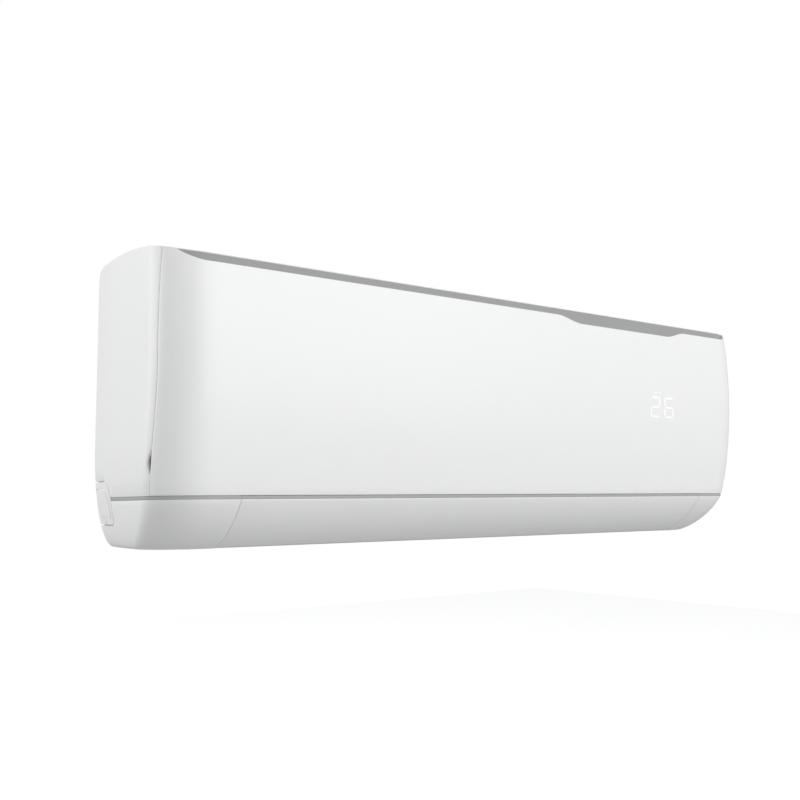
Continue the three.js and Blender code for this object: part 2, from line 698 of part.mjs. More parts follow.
/** The intake grille: a lattice of level bars across the curved top, open between them. */
function topGrille() {
  const wall = topSkin(-GRILLE_HALF, GRILLE_HALF, BACK_HIGH - 8);
  const zone = box(-GRILLE_HALF, GRILLE_HALF, 0, GRILLE_FRONT, 0, HEIGHT + 1);
  const first = 26;
  const last = GRILLE_FRONT - 10;
  const reach = GRILLE_HALF - 22;
  const wide = (2 * reach - GRILLE_BAR * (GRILLE_COLUMNS - 1)) / GRILLE_COLUMNS;
  const deep = (last - first - GRILLE_BAR * (GRILLE_ROWS - 1)) / GRILLE_ROWS;
  const cells = [];
  for (let column = 0; column < GRILLE_COLUMNS; column += 1) {
    for (let row = 0; row < GRILLE_ROWS; row += 1) {
      const x = -reach + column * (wide + GRILLE_BAR);
      const d = first + row * (deep + GRILLE_BAR);
      cells.push(box(x, x + wide, d, d + deep, BACK_HIGH - 8, HEIGHT + 1));
    }
  }
  return cut(wall.intersect(zone), cells);
}

// ---------------------------------------------------------------- rear

function mountingPlate() {
  const half = PLATE_THICK / 2;
  const out = PLATE_STAND - half;
  const path = [[half, PLATE_LOW], [half, 100], [out, 106], [out, 128], [half, 134], [half, 204], [out, 210],
    [out, PLATE_HIGH]].map(([d, z]) => [d - half, z]);
  const sheet = sidePrism(wallOutline(path.reverse(), PLATE_THICK), -PLATE_HALF, PLATE_HALF);
  const hookPath = [[PLATE_STAND, PLATE_HIGH - 6], [PLATE_STAND, PLATE_HIGH], [PLATE_STAND + 7, PLATE_HIGH],
    [PLATE_STAND + 7, PLATE_HIGH + HOOK_RISE]];
  const hooks = HOOKS.map((x) => sidePrism(wallOutline(hookPath, PLATE_THICK), x - HOOK_WIDE / 2, x + HOOK_WIDE / 2));
  const reach = PLATE_HALF - PLATE_HOLE_IN;
  const holes = [-1, -0.6, -0.2, 0.2, 0.6, 1].map((share) => share * reach).flatMap((x) => [
    rodY(3, x, 148, -1, PLATE_STAND + 1, 8),
    box(x - 14, x + 14, -1, PLATE_STAND + 1, 176, 184),
  ]);
  const corner = [[PLATE_HALF + 1, PLATE_LOW - 1], [PLATE_HALF + 1, PLATE_LOW + 24], [PLATE_HALF - 24, PLATE_LOW - 1]];
  const notch = frontPrism(corner, -1, PLATE_STAND + 1);
  return cut(join(sheet, hooks), holes, notch, mirrored(notch));
}

/** The guide that leads air round the fan: a spiral from above its rear, then the straight floor. */
function scrollPath() {
  const steps = 9;
  const spiral = Array.from({ length: steps + 1 }, (_, i) => {
    const share = i / steps;
    const angle = radians(SCROLL_START + (SCROLL_END - SCROLL_START) * share);
    const radius = FAN_RADIUS + FAN_CLEAR + SCROLL_GROWTH * share ** 1.5;
    return [FAN_D + radius * Math.cos(angle), FAN_Z + radius * Math.sin(angle)];
  });
  return [...spiral, [FLOOR_END_D, FLOOR_END_Z]];
}

const SCROLL = scrollPath();
const FLOOR_START = new THREE.Vector2(...SCROLL[SCROLL.length - 2]);
const FLOOR_RUN = new THREE.Vector2(FLOOR_END_D, FLOOR_END_Z).sub(FLOOR_START).normalize();

function ductEndOutline() {
  const { rear, floor } = REAR_TROUGH;
  return [
    [rear, floor],
    [FRONT_SLAB_D - SLAB_THICK / 2 - 3, floor],
    [FRONT_SLAB_D - SLAB_THICK / 2 - 3, FRONT_SLAB_LOW - 20],
    [160, 62],
    [166, 47],
    [150, 27],
    [131, 12],
    [FLOOR_LIP, 4],
    [FLOOR_END_D, FLOOR_END_Z - 6],
    ...SCROLL.slice(0, -1).reverse().map(([d, z]) => [d - 1.5, z - 1]),
  ];
}

function rearChassis() {
  const back = box(-BACK_HALF, BACK_HALF, BACK_D, BACK_D + WALL, BACK_LOW, BACK_HIGH);
  const { rear, front, floor, top } = REAR_TROUGH;
  const trough = [[front, top], [front, floor], [rear, floor], [rear, top]];
  const guide = [[front - 2, floor - 1], ...SCROLL];
  const reach = DUCT_HALF + WALL;
  const length = [-reach, reach];
  const mouth = [[FLOOR_END_D - 1, FLOOR_END_Z], [FLOOR_END_D - 1, 1]];
  const shelf = sidePrism([[BACK_D + 1, floor - WALL], [rear + 1, floor - WALL], [rear + 1, floor], [BACK_D + 1, floor]],
    ...length);
  const floorPlate = box(-LOUVER_HALF, LOUVER_HALF, 2, FLOOR_LIP, 0, WALL);
  const webs = [-1, -1 / 3, 1 / 3, 1].map((share) => share * (DUCT_HALF - WEB_IN)).map((x) => {
    const web = [[BACK_D + 1, BACK_LOW], [BACK_D + 1, floor - 1], [rear + 4, floor - 1],
      ...SCROLL.slice(1, -3).map(([d, z]) => [d - 1, z])];
    return sidePrism(web, x, x + WALL);
  });
  const feet = [-1, 0, 1].map((share) => share * (DUCT_HALF - FOOT_IN)).map((x) =>
    sidePrism([[70, 1], [FLOOR_END_D - 1, 1], [FLOOR_END_D - 1, FLOOR_END_Z], [70, 39]], x, x + WALL));
  const end = sidePrism(ductEndOutline(), DUCT_HALF, reach);
  const strips = [wallOutline(trough, -WALL), wallOutline(guide, -WALL)].map((outline) => sidePrism(outline, ...length));
  strips.push(sidePrism(wallOutline(mouth, -WALL), -LOUVER_HALF, LOUVER_HALF));
  const shaftHole = rodX(SHAFT_RADIUS + 6, -LENGTH, LENGTH, FAN_D, FAN_Z, 24);
  const louverHole = rodX(LOUVER_PIN + 0.5, 0, LENGTH, LOUVER_D, LOUVER_Z, 14);
  const bushHole = rodX(LOUVER_PIN + 2.6, -LENGTH, 0, LOUVER_D, LOUVER_Z, 14);
  const hookSlots = HOOKS.map((x) =>
    box(x - HOOK_WIDE / 2 - 1, x + HOOK_WIDE / 2 + 1, BACK_D - 1, BACK_D + WALL + 1, PLATE_HIGH - 8,
      PLATE_HIGH + PLATE_THICK + GAP));
  const vaneHoles = vaneHoleTools();
  const whole = join(back, strips, shelf, floorPlate, webs, feet, end, mirrored(end));
  return cut(whole, shaftHole, louverHole, bushHole, hookSlots, vaneHoles);
}

// ---------------------------------------------------------------- drain pan and evaporator

const PAN_FRONT = FILTER_D - 3;
const PAN_REAR = FRONT_SLAB_D - SLAB_THICK / 2 - 1;
const PAN_OUTLET_D = (PAN_FRONT + PAN_REAR) / 2 + 1;
const PAN_OUTLET_Z = FRONT_SLAB_LOW - 8;

/** The pan under the upright slab, with the fan's stabiliser and the duct's upper wall below it. */
function drainPan() {
  const front = PAN_FRONT;
  const rear = PAN_REAR;
  const floor = FRONT_SLAB_LOW - 14;
  const trough = [[front, floor + 16], [front, floor], [rear, floor - 5], [rear, floor + 9]];
  const tongue = [[rear, floor + 6], [rear - 1, floor - 8], [148, 78], [158, 64], [165.6, 51]];
  const reach = DUCT_HALF - GAP;
  const ends = [-reach, reach - WALL].map((x) =>
    sidePrism([[front, floor + 12], [front, floor - 1], [rear, floor - 6], [rear, floor + 6]], x, x + WALL));
  const strips = [wallOutline(trough, -WALL), wallOutline(tongue, -WALL)].map((o) => sidePrism(o, -reach, reach));
  const rib = sidePrism([[rear + 1, floor - 4], [front, floor + 1], [front, 70], [164, 54], [157, 64]], -reach, reach);
  const step = (2 * (DUCT_HALF - PAN_RIB_IN)) / PAN_CHANNELS;
  const channels = Array.from({ length: PAN_CHANNELS }, (_, i) => {
    const x = (i - (PAN_CHANNELS - 1) / 2) * step;
    return box(x - step / 2 + PAN_RIB / 2, x + step / 2 - PAN_RIB / 2, rear, FILTER_D, 40, floor - 7);
  });
  const hole = rodX(5, -LENGTH, LENGTH, PAN_OUTLET_D, PAN_OUTLET_Z, 12);
  return cut(join(strips, ends, cut(rib, channels)), hole);
}

function slabOutline(from, to) {
  const run = new THREE.Vector2(to[0] - from[0], to[1] - from[1]).normalize();
  const side = new THREE.Vector2(-run.y, run.x).multiplyScalar(SLAB_THICK / 2);
  return [
    [from[0] - side.x, from[1] - side.y],
    [to[0] - side.x, to[1] - side.y],
    [to[0] + side.x, to[1] + side.y],
    [from[0] + side.x, from[1] + side.y],
  ];
}

const SLABS = {
  evaporator_front: [[FRONT_SLAB_D, FRONT_SLAB_LOW], [FRONT_SLAB_D, FRONT_SLAB_HIGH]],
  evaporator_upper: UPPER_SLAB,
  evaporator_rear: REAR_SLAB,
};

/** Where a slab's tubes lie: two rows, a pitch apart along the slab. */
function tubePlaces([from, to]) {
  const a = new THREE.Vector2(...from);
  const run = new THREE.Vector2(...to).sub(a);
  const long = run.length();
  run.normalize();
  const side = new THREE.Vector2(-run.y, run.x);
  const count = Math.floor((long - TUBE_PITCH / 2) / TUBE_PITCH) + 1;
  const start = (long - (count - 1) * TUBE_PITCH) / 2;
  return [-1, 1].map((row) =>
    Array.from({ length: count }, (_, i) =>
      a.clone().addScaledVector(run, start + i * TUBE_PITCH).addScaledVector(side, (row * TUBE_ROWS) / 2)));
}

/** A half-round return bend between two tubes, standing out from a tube sheet. */
function returnBend(p, q, x) {
  const middle = p.clone().add(q).multiplyScalar(0.5);
  const radius = p.distanceTo(q) / 2;
  const steps = 3;
  const points = Array.from({ length: steps + 1 }, (_, i) => {
    const angle = (Math.PI * i) / steps;
    const along = p.clone().sub(middle).multiplyScalar(Math.cos(angle)).add(middle);
    return new THREE.Vector3(x + radius * Math.sin(angle), -along.x, along.y);
  });
  points.unshift(points[0].clone().setX(x - 1));
  points.push(points[points.length - 1].clone().setX(x - 1));
  return tubeAlong(points, TUBE_RADIUS, 5, 1);
}

/** A tube with flat ends through given points, with some steps between each two. */
function tubeAlong(points, radius, sides, between) {
  const curve = new THREE.CatmullRomCurve3(points, false, "centripetal");
  const section = new THREE.Shape(circle(0, 0, radius, sides).map(([a, b]) => new THREE.Vector2(a, b)));
  const geometry = new THREE.ExtrudeGeometry(section, {
    steps: Math.round((points.length - 1) * between),
    extrudePath: curve,
    bevelEnabled: false,
  });
  return solid(geometry);
}

function tubeSheet(side) {
  const x0 = SLAB_HALF + GAP;
  const plates = Object.values(SLABS).map(([from, to]) => sidePrism(slabOutline(from, to), x0, x0 + SHEET_THICK));
  const bridge = sidePrism([[106, 240], [130, 240], [126, 262], [94, 262], [92, 246]], x0, x0 + SHEET_THICK);
  const knee = sidePrism([[141, 180], [163, 180], [163, 192], [150, 208], [135, 198]], x0, x0 + SHEET_THICK);
  const frontFoot = sidePrism([[144, 112], [144, 90.6], [158, 93.2], [158, 112]], x0, x0 + SHEET_THICK);
  const troughTop = REAR_TROUGH.floor + WALL + GAP;
  const rearFoot = sidePrism([[38, 198], [38, troughTop], [56, troughTop], [56, 190]], x0, x0 + SHEET_THICK);
  const bends = Object.values(SLABS).flatMap((ends) => {
    const [rear, front] = tubePlaces(ends);
    const chosen = [];
    for (let i = side; i + 1 < rear.length; i += 2) {
      chosen.push(returnBend(rear[i], rear[i + 1], x0 + SHEET_THICK));
      chosen.push(returnBend(front[i], front[i + 1], x0 + SHEET_THICK));
    }
    return chosen;
  });
  return join(plates, bridge, knee, frontFoot, rearFoot, bends);
}

// ---------------------------------------------------------------- pipes and drain

/** A copper pipe from the rear slab's lowest tube, down behind the motor and along the rear channel. */
function pipe({ radius, z, end, rise, row }) {
  const start = tubePlaces(REAR_SLAB)[row].at(-1);
  const points = [
    [SLAB_HALF + GAP + SHEET_THICK + GAP, start.x, start.y],
    [rise - 12, start.x, start.y],
    [rise, start.x - 5, start.y - 12],
    [rise, PIPE_D, start.y - 44],
    [rise, PIPE_D, z + 34],
    [rise - 8, PIPE_D, z + 9],
    [rise - 28, PIPE_D, z],
    [rise - 70, PIPE_D, z],
    [end + 40, PIPE_D, z],
    [end, PIPE_D, z],
  ].map(([x, d, height]) => new THREE.Vector3(x, -d, height));
  return tubeAlong(points, radius, 8, 4 / 3);
}

function flareNut({ radius, z, end }) {
  const body = rodX(radius * 2.1, end - 16, end - GAP - 3, PIPE_D, z, 6);
  const nose = rodX(radius * 1.4, end - 18, end - GAP, PIPE_D, z, 12);
  const bore = rodX(radius * 0.8, end - 30, end, PIPE_D, z, 12);
  return cut(join(body, nose), bore);
}

function pipeClamp() {
  const x = GAS.rise - CLAMP_IN;
  const block = box(x, x + 22, PIPE_D - 10, PIPE_D + 8, WALL + GAP, BACK_LOW - GAP);
  const foot = box(x, x + 22, BACK_D + WALL + GAP, PIPE_D, BACK_LOW - 8, BACK_LOW + 12);
  const passages = [GAS, LIQUID].map(({ radius, z }) => rodX(radius + GAP, x - 1, x + 23, PIPE_D, z, 16));
  return cut(join(block, foot), passages);
}

function drainSpigot() {
  const x0 = DUCT_HALF;
  const flange = rodX(8, x0, x0 + 2, PAN_OUTLET_D, PAN_OUTLET_Z, 12);
  const barrel = rodX(6.5, x0, x0 + 18, PAN_OUTLET_D, PAN_OUTLET_Z, 12);
  const bead = rodX(7.2, x0 + 9, x0 + 11, PAN_OUTLET_D, PAN_OUTLET_Z, 12);
  return mirrored(cut(join(flange, barrel, bead), rodX(4.6, x0 - 1, x0 + 30, PAN_OUTLET_D, PAN_OUTLET_Z, 10)));
}

function drainPlug() {
  const x0 = DUCT_HALF;
  const head = rodX(8, x0, x0 + 3, PAN_OUTLET_D, PAN_OUTLET_Z, 12);
  const stem = rodX(4.6, x0 - 2.6, x0 + 1, PAN_OUTLET_D, PAN_OUTLET_Z, 10);
  return join(head, stem);
}

// ---------------------------------------------------------------- fan

/** One curved blade's section, standing on the fan's rim. */
function bladeSection(turn) {
  const inner = FAN_RING_BORE + 1.5;
  const outer = FAN_RADIUS - 0.6;
  const chord = outer - inner;
  const steps = 2;
  const face = (bow, thick) => Array.from({ length: steps + 1 }, (_, i) => {
    const share = i / steps;
    const rise = 4 * bow * share * (1 - share) + thick;
    return new THREE.Vector2(chord * (share - 0.5), rise);
  });
  const points = [...face(BLADE_CAMBER, BLADE_THICK / 2), ...face(BLADE_CAMBER, -BLADE_THICK / 2).reverse()];
  const middle = new THREE.Vector2((inner + outer) / 2, -BLADE_CAMBER / 2);
  const origin = new THREE.Vector2();
  return points.map((point) => {
    const placed = point.rotateAround(origin, radians(BLADE_LEAN)).add(middle).rotateAround(origin, turn);
    return [FAN_D + placed.x, FAN_Z + placed.y];
  });
}

/** The cross-flow fan: rings along a drum of curved blades, each segment a step round from the last. */
function crossFlowFan() {
  const long = (2 * FAN_HALF - FAN_DISC) / FAN_SEGMENTS;
  const stagger = (2 * Math.PI) / FAN_BLADES / FAN_SEGMENTS;
  const pieces = [];
  for (let k = 0; k < FAN_SEGMENTS; k += 1) {
    const x0 = -FAN_HALF + k * long + FAN_DISC / 2;
    for (let i = 0; i < FAN_BLADES; i += 1) {
      const turn = (2 * Math.PI * i) / FAN_BLADES + k * stagger;
      pieces.push(sidePrism(bladeSection(turn), x0, x0 + long));
    }
  }
  for (let k = 0; k <= FAN_SEGMENTS; k += 1) {
    const x0 = -FAN_HALF + k * long;
    const disc = rodX(FAN_RADIUS, x0, x0 + FAN_DISC, FAN_D, FAN_Z, 24);
    const isEnd = k === 0 || k === FAN_SEGMENTS;
    pieces.push(isEnd ? disc : cut(disc, rodX(FAN_RING_BORE, x0 - 1, x0 + 5, FAN_D, FAN_Z, 12)));
  }
  const hubs = [[-FAN_HALF, -FAN_HALF + 14], [FAN_HALF - 20, FAN_HALF]].map(([x0, x1]) =>
    rodX(FAN_HUB, x0, x1, FAN_D, FAN_Z, 12));
  const bores = [
    rodX(SHAFT_RADIUS + GAP, -FAN_HALF - 1, -FAN_HALF + 12, FAN_D, FAN_Z, 12),
    rodX(SHAFT_RADIUS + GAP, FAN_HALF - 18, FAN_HALF + 1, FAN_D, FAN_Z, 12),
  ];
  return cut(join(pieces, hubs), bores);
}

function motorShaft() {
  return rodX(SHAFT_RADIUS, FAN_HALF - 17.5, MOTOR_START + 8, FAN_D, FAN_Z, 16);
}

function stubShaft() {
  return rodX(SHAFT_RADIUS, -DUCT_HALF - 14, -FAN_HALF + 11.5, FAN_D, FAN_Z, 16);
}

/** The fan motor: a turned can with a stepped nose and two rubber-ring seats. */
function fanMotor() {
  const half = MOTOR_LONG / 2;
  const profile = [[0, -half + 9], [SHAFT_RADIUS + 0.6, -half + 9], [SHAFT_RADIUS + 0.6, -half], [13, -half],
    [13, -half + 4], [MOTOR_RADIUS - 4, -half + 5], [MOTOR_RADIUS, -half + 9], [MOTOR_RADIUS, half - 6],
    [MOTOR_RADIUS - 4, half - 2], [11, half - 1], [11, half], [0, half]];
  const geometry = new THREE.LatheGeometry(profile.map(([r, a]) => new THREE.Vector2(r, a)), 20);
  geometry.rotateZ(-Math.PI / 2);
  geometry.translate(MOTOR_START + half, -FAN_D, FAN_Z);
  return solid(geometry);
}

/** A strap round the motor that stands on two arms from the chassis back. */
function motorBracket() {
  const x0 = MOTOR_START + 31;
  const x1 = x0 + 12;
  const inner = MOTOR_RADIUS + GAP;
  const outer = inner + 3;
  const strap = cut(rodX(outer, x0, x1, FAN_D, FAN_Z, 20), rodX(inner, x0 - 1, x1 + 1, FAN_D, FAN_Z, 20));
  const arms = [FAN_Z - 26, FAN_Z + 21].map((z) => box(x0, x1, BACK_D + WALL + GAP, FAN_D - 20, z, z + 5));
  const pad = box(x0 - 2, x1 + 2, BACK_D + WALL + GAP, BACK_D + WALL + 3, FAN_Z - 30, FAN_Z + 30);
  return join(strap, cut(join(arms), rodX(inner, x0 - 1, x1 + 1, FAN_D, FAN_Z, 20)), pad);
}

function bearingBush() {
  const x0 = -DUCT_HALF - WALL - 10;
  return cut(rodX(9, x0, x0 + 9, FAN_D, FAN_Z, 12), rodX(SHAFT_RADIUS + GAP, x0 - 1, x0 + 11, FAN_D, FAN_Z, 16));
}

function bearingHolder() {
  const x1 = -DUCT_HALF - WALL - GAP;
  const cup = rodX(12.5, x1 - 12, x1, FAN_D, FAN_Z, 12);
  const flange = rodX(20, x1 - 2.5, x1, FAN_D, FAN_Z, 12);
  const seat = rodX(9 + 2 * GAP, x1 - 10, x1 + 1, FAN_D, FAN_Z, 12);
  const hole = rodX(SHAFT_RADIUS + 1, x1 - 20, x1 + 1, FAN_D, FAN_Z, 16);
  return cut(join(cup, flange), seat, hole);
}

// ---------------------------------------------------------------- louver and vanes

function outletLouver() {
  const low = 0.8;
  const high = CHIN_TOP - SEAM / 2;
  const shell = skin(0, LOUVER_THICK, low, high).intersect(box(-LOUVER_HALF, LOUVER_HALF, LOUVER_HEEL, DEPTH, 0, HEIGHT));
  const cheek = [
    ...arc(LOUVER_D, LOUVER_Z, 6, 150, 300, 6),
    [LOUVER_D + 1, LOUVER_Z - 10],
    [LOUVER_D + 26, LOUVER_Z + 2],
    [LOUVER_D + 36, LOUVER_Z + 16],
    [LOUVER_D + 30, LOUVER_Z + 18],
    [LOUVER_D + 12, LOUVER_Z + 8],
  ];
  const x1 = LOUVER_HALF;
  const x0 = x1 - 4;
  const arm = sidePrism(cheek, x0, x1).intersect(form(LOUVER_THICK / 2));
  const pin = rodX(LOUVER_PIN, x0 + 1, x1 + 6, LOUVER_D, LOUVER_Z, 14);
  const spine = skin(LOUVER_THICK / 2, LOUVER_THICK + 4, 24, 25.6).intersect(box(-x0, x0, 100, DEPTH, 20, 30));
  return join(shell, arm, pin, mirrored(join(arm, pin)), spine);
}

function louverMotor() {
  const x0 = DUCT_HALF + WALL + GAP;
  const can = rodX(STEPPER_RADIUS, x0, x0 + STEPPER_LONG, LOUVER_D, LOUVER_Z, 18);
  const ear = box(x0, x0 + 1.2, LOUVER_D - 3, LOUVER_D + 3, LOUVER_Z, LOUVER_Z + STEPPER_RADIUS + 7);
  const socket = rodX(LOUVER_PIN + 0.4, x0 - 1, x0 + 4.5, LOUVER_D, LOUVER_Z, 14);
  return cut(join(can, ear), socket);
}

function louverBush() {
  const x1 = -DUCT_HALF - GAP / 2;
  const ring = join(
    rodX(LOUVER_PIN + 2.3, x1 - WALL - 1.5, x1, LOUVER_D, LOUVER_Z, 14),
    rodX(LOUVER_PIN + 4, x1 - WALL - 2.5, x1 - WALL - 0.5, LOUVER_D, LOUVER_Z, 14),
  );
  return cut(ring, rodX(LOUVER_PIN + GAP, x1 - 20, x1 + 1, LOUVER_D, LOUVER_Z, 14));
}

/** Places a group whose own axes run across the unit, down the duct floor, and square to that floor. */
function ductFrame(x) {
  const pin = FLOOR_START.clone().addScaledVector(FLOOR_RUN, VANE_S);
  const across = ALONG_X.clone().negate();
  const along = new THREE.Vector3(0, -FLOOR_RUN.x, FLOOR_RUN.y);
  const up = new THREE.Vector3().crossVectors(across, along);
  return new THREE.Matrix4().makeBasis(across, along, up).setPosition(x, -pin.x, pin.y);
}

function vanePlaces(bank) {
  const first = bank * VANE_PITCH * (VANES_PER_BANK - 0.5);
  return Array.from({ length: VANES_PER_BANK }, (_, i) => first - bank * VANE_PITCH * i);
}

function vaneHoleTools() {
  return [-1, 1].flatMap((bank) => vanePlaces(bank).map((x) => {
    const geometry = new THREE.CylinderGeometry(VANE_PIN + 0.5, VANE_PIN + 0.5, 12, 6);
    geometry.rotateX(Math.PI / 2);
    geometry.applyMatrix4(ductFrame(x));
    return solid(geometry);
  }));
}

/** An upright vane in its own frame: x across, u down the duct, n up from the floor. */
function vane() {
  const shape = new THREE.Shape();
  shape.moveTo(-8, 1.5);
  shape.lineTo(20, 1.5);
  shape.lineTo(22.4, 5);
  shape.lineTo(25.6, 40);
  shape.quadraticCurveTo(26, 46, 20, 46);
  shape.lineTo(12, 46);
  shape.quadraticCurveTo(-10, 34, -10, 6);
  shape.lineTo(-8, 1.5);
  const geometry = new THREE.ExtrudeGeometry(shape, { depth: VANE_THICK, bevelEnabled: false, curveSegments: 2 });
  const basis = new THREE.Matrix4().makeBasis(ALONG_Y, ALONG_Z, ALONG_X).setPosition(-VANE_THICK / 2, 0, 0);
  geometry.applyMatrix4(basis);
  const blade = solid(geometry);
  const slot = vaneBox(-5, 5, LINK_U - 4.2, 40, LINK_N - LINK_SLOT / 2, LINK_N + LINK_SLOT / 2);
  const stem = vaneRod(VANE_PIN, -WALL - 0.5, 5, 0, 6);
  const peg = vaneRod(LINK_PEG, LINK_N - LINK_SLOT / 2 - 0.5, LINK_N + LINK_SLOT / 2 + 0.5, LINK_U, 5);
  return join(cut(blade, slot), stem, peg);
}

function vaneBox(x0, x1, u0, u1, n0, n1) {
  const geometry = new THREE.BoxGeometry(x1 - x0, u1 - u0, n1 - n0);
  geometry.translate((x0 + x1) / 2, (u0 + u1) / 2, (n0 + n1) / 2);
  return solid(geometry);
}

function vaneRod(radius, n0, n1, u, sides) {
  const geometry = new THREE.CylinderGeometry(radius, radius, n1 - n0, sides);
  geometry.rotateX(Math.PI / 2);
  geometry.translate(0, u, (n0 + n1) / 2);
  return solid(geometry);
}

/** The bar that holds one bank's vanes parallel, with a hole round each vane's peg. */
function linkBar() {
  const reach = (VANE_PITCH * (VANES_PER_BANK - 1)) / 2;
  const low = LINK_N - LINK_THICK / 2;
  const bar = vaneBox(-reach - 6, reach + 6, LINK_U - LINK_WIDE / 2, LINK_U + LINK_WIDE / 2, low, low + LINK_THICK);
  const holes = vanePlaces(1).map((_, i) => {
    const geometry = new THREE.CylinderGeometry(LINK_PEG + 0.4, LINK_PEG + 0.4, 10, 5);
    geometry.rotateX(Math.PI / 2);
    geometry.translate(-reach + i * VANE_PITCH, LINK_U, LINK_N);
    return solid(geometry);
  });
  return cut(bar, holes);
}

/** One bank: its vanes and link bar, each in a group that stands on the duct floor. */
function vaneBank(side, bank) {
  const group = new THREE.Group();
  const places = vanePlaces(bank);
  const shape = vane();
  places.forEach((x, i) => {
    const stand = new THREE.Group();
    ductFrame(x).decompose(stand.position, stand.quaternion, stand.scale);
    stand.add(part(`vane_${side}_${i + 1}`, shape, "inner"));
    group.add(stand);
  });
  const stand = new THREE.Group();
  const middle = (places[0] + places[places.length - 1]) / 2;
  ductFrame(middle).decompose(stand.position, stand.quaternion, stand.scale);
  stand.add(part(`link_bar_${side}`, linkBar(), "dark"));
  group.add(stand);
  return group;
}

// ---------------------------------------------------------------- filters

/** A filter: a rim, a grid of ribs and a fine mesh sheet between them, with a pull tab on top. */
function airFilter() {
  const x0 = FILTER_INNER;
  const x1 = FILTER_OUTER;
  const high = topHeight(FILTER_D + FILTER_THICK) - 0.4;
  const outer = box(x0, x1, FILTER_D, FILTER_D + FILTER_THICK, FILTER_LOW, high);
  const columns = 3;
  const rows = 2;
  const rib = 3;
  const wide = (x1 - x0 - 2 * FILTER_RIM - rib * (columns - 1)) / columns;
  const tall = (high - 10 - FILTER_LOW - FILTER_RIM - rib * (rows - 1)) / rows;
  const pockets = [];
  for (let column = 0; column < columns; column += 1) {
    for (let row = 0; row < rows; row += 1) {
      const x = x0 + FILTER_RIM + column * (wide + rib);
      const z = FILTER_LOW + FILTER_RIM + row * (tall + rib);
      pockets.push(box(x, x + wide, FILTER_D + 1.6, FILTER_D + FILTER_THICK + 1, z, z + tall));
      pockets.push(box(x, x + wide, FILTER_D - 1, FILTER_D + 0.9, z, z + tall));
    }
  }
  return cut(outer, pockets);
}

// ---------------------------------------------------------------- electrics

function controlBox() {
  const { left, right, rear, front, low, high } = BOX;
  const tray = box(left, right, rear, front, low, high);
  const hollow = box(left + 2, right - 2, rear + 2, front + 1, low + 2, high - 2);
  const cableWay = box(left + 12, right - 12, rear + 6, front - 8, low - 1, low + 3);
  const arms = [low + 96, high - 8].map((z) => box(right - 14, right - 4, BACK_D + WALL + GAP, rear + 1, z, z + 4));
  return join(cut(tray, hollow, cableWay), arms);
}

function controlBoxLid() {
  const { left, right, front, low, high } = BOX;
  const face = box(left, right, front + GAP, front + GAP + 1.6, low + 40, high);
  const rim = box(left + 2.4, right - 2.4, front - 4, front + GAP + 1, low + 42, high - 2.4);
  const inner = box(left + 4, right - 4, front - 5, front + GAP, low + 44, high - 4);
  const vents = Array.from({ length: 5 }, (_, i) =>
    box(left + 12, right - 12, front - 5, front + 4, high - 70 + i * 10, high - 66 + i * 10));
  return cut(join(face, rim), inner, vents);
}

function circuitBoard() {
  const { left, right, rear, low, high } = BOX;
  const d = rear + 2 + GAP;
  const sheet = box(left + 4, right - 4, d + 4, d + 5.6, low + 46, high - 5);
  const posts = [low + 52, high - 12].flatMap((z) =>
    [left + 9, right - 9].map((x) => rodY(2.4, x, z, d, d + 4.5, 10)));
  const capacitor = rodY(7, left + 18, high - 28, d + 5, d + 24, 18);
  const relay = box(left + 8, left + 26, d + 5, d + 19, low + 86, low + 108);
  const chip = box(left + 14, left + 34, d + 5, d + 8, low + 58, low + 74);
  return join(sheet, posts, capacitor, relay, chip);
}

function terminalBlock() {
  const { left, right, rear, low } = BOX;
  const base = box(left + 4, right - 4, rear + 2 + GAP, rear + 16, low + 10, low + 34);
  const count = 4;
  const step = (right - left - 10) / count;
  const bays = Array.from({ length: count }, (_, i) =>
    box(left + 6 + i * step, left + 4 + (i + 1) * step, rear + 8, rear + 17, low + 14, low + 30));
  return cut(base, bays);
}

function displayHousing() {
  const { x, z, wide, high } = DISPLAY;
  const front = bowDepth(z - high / 2 - 5) - FRAME_IN - GAP - 0.4;
  const rear = FILTER_D + FILTER_THICK + 1.4;
  const outer = box(x - wide / 2 - 4, x + wide / 2 + 4, rear, front, z - high / 2 - 4, z + high / 2 + 4);
  const light = box(x - wide / 2, x + wide / 2, rear + 3.4, front + 1, z - high / 2, z + high / 2);
  const seat = box(x - wide / 2 - 2, x + wide / 2 + 2, rear - 1, rear + 2.4, z - high / 2 - 2, z + high / 2 + 2);
  return cut(outer, light, seat);
}

function displayBoard() {
  const { x, z, wide, high } = DISPLAY;
  const rear = FILTER_D + FILTER_THICK + 1.4;
  const low = z - high / 2 - 1.6;
  const top = z + high / 2 + 1.6;
  const sheet = box(x - wide / 2 - 1.6, x + wide / 2 + 1.6, rear + 0.2, rear + 1.8, low, top);
  return sheet;
}

function emergencyButton() {
  const face = bowDepth(BUTTON_Z) - FRAME_OUT;
  const back = bowDepth(BUTTON_Z) - FRAME_IN;
  const cap = rodY(BUTTON_RADIUS, BUTTON_X, BUTTON_Z, back - 3, face + BUTTON_OUT, 20);
  const flange = rodY(BUTTON_RADIUS + 2, BUTTON_X, BUTTON_Z, back - 3, back - 1.6, 20);
  return join(cap, flange);
}

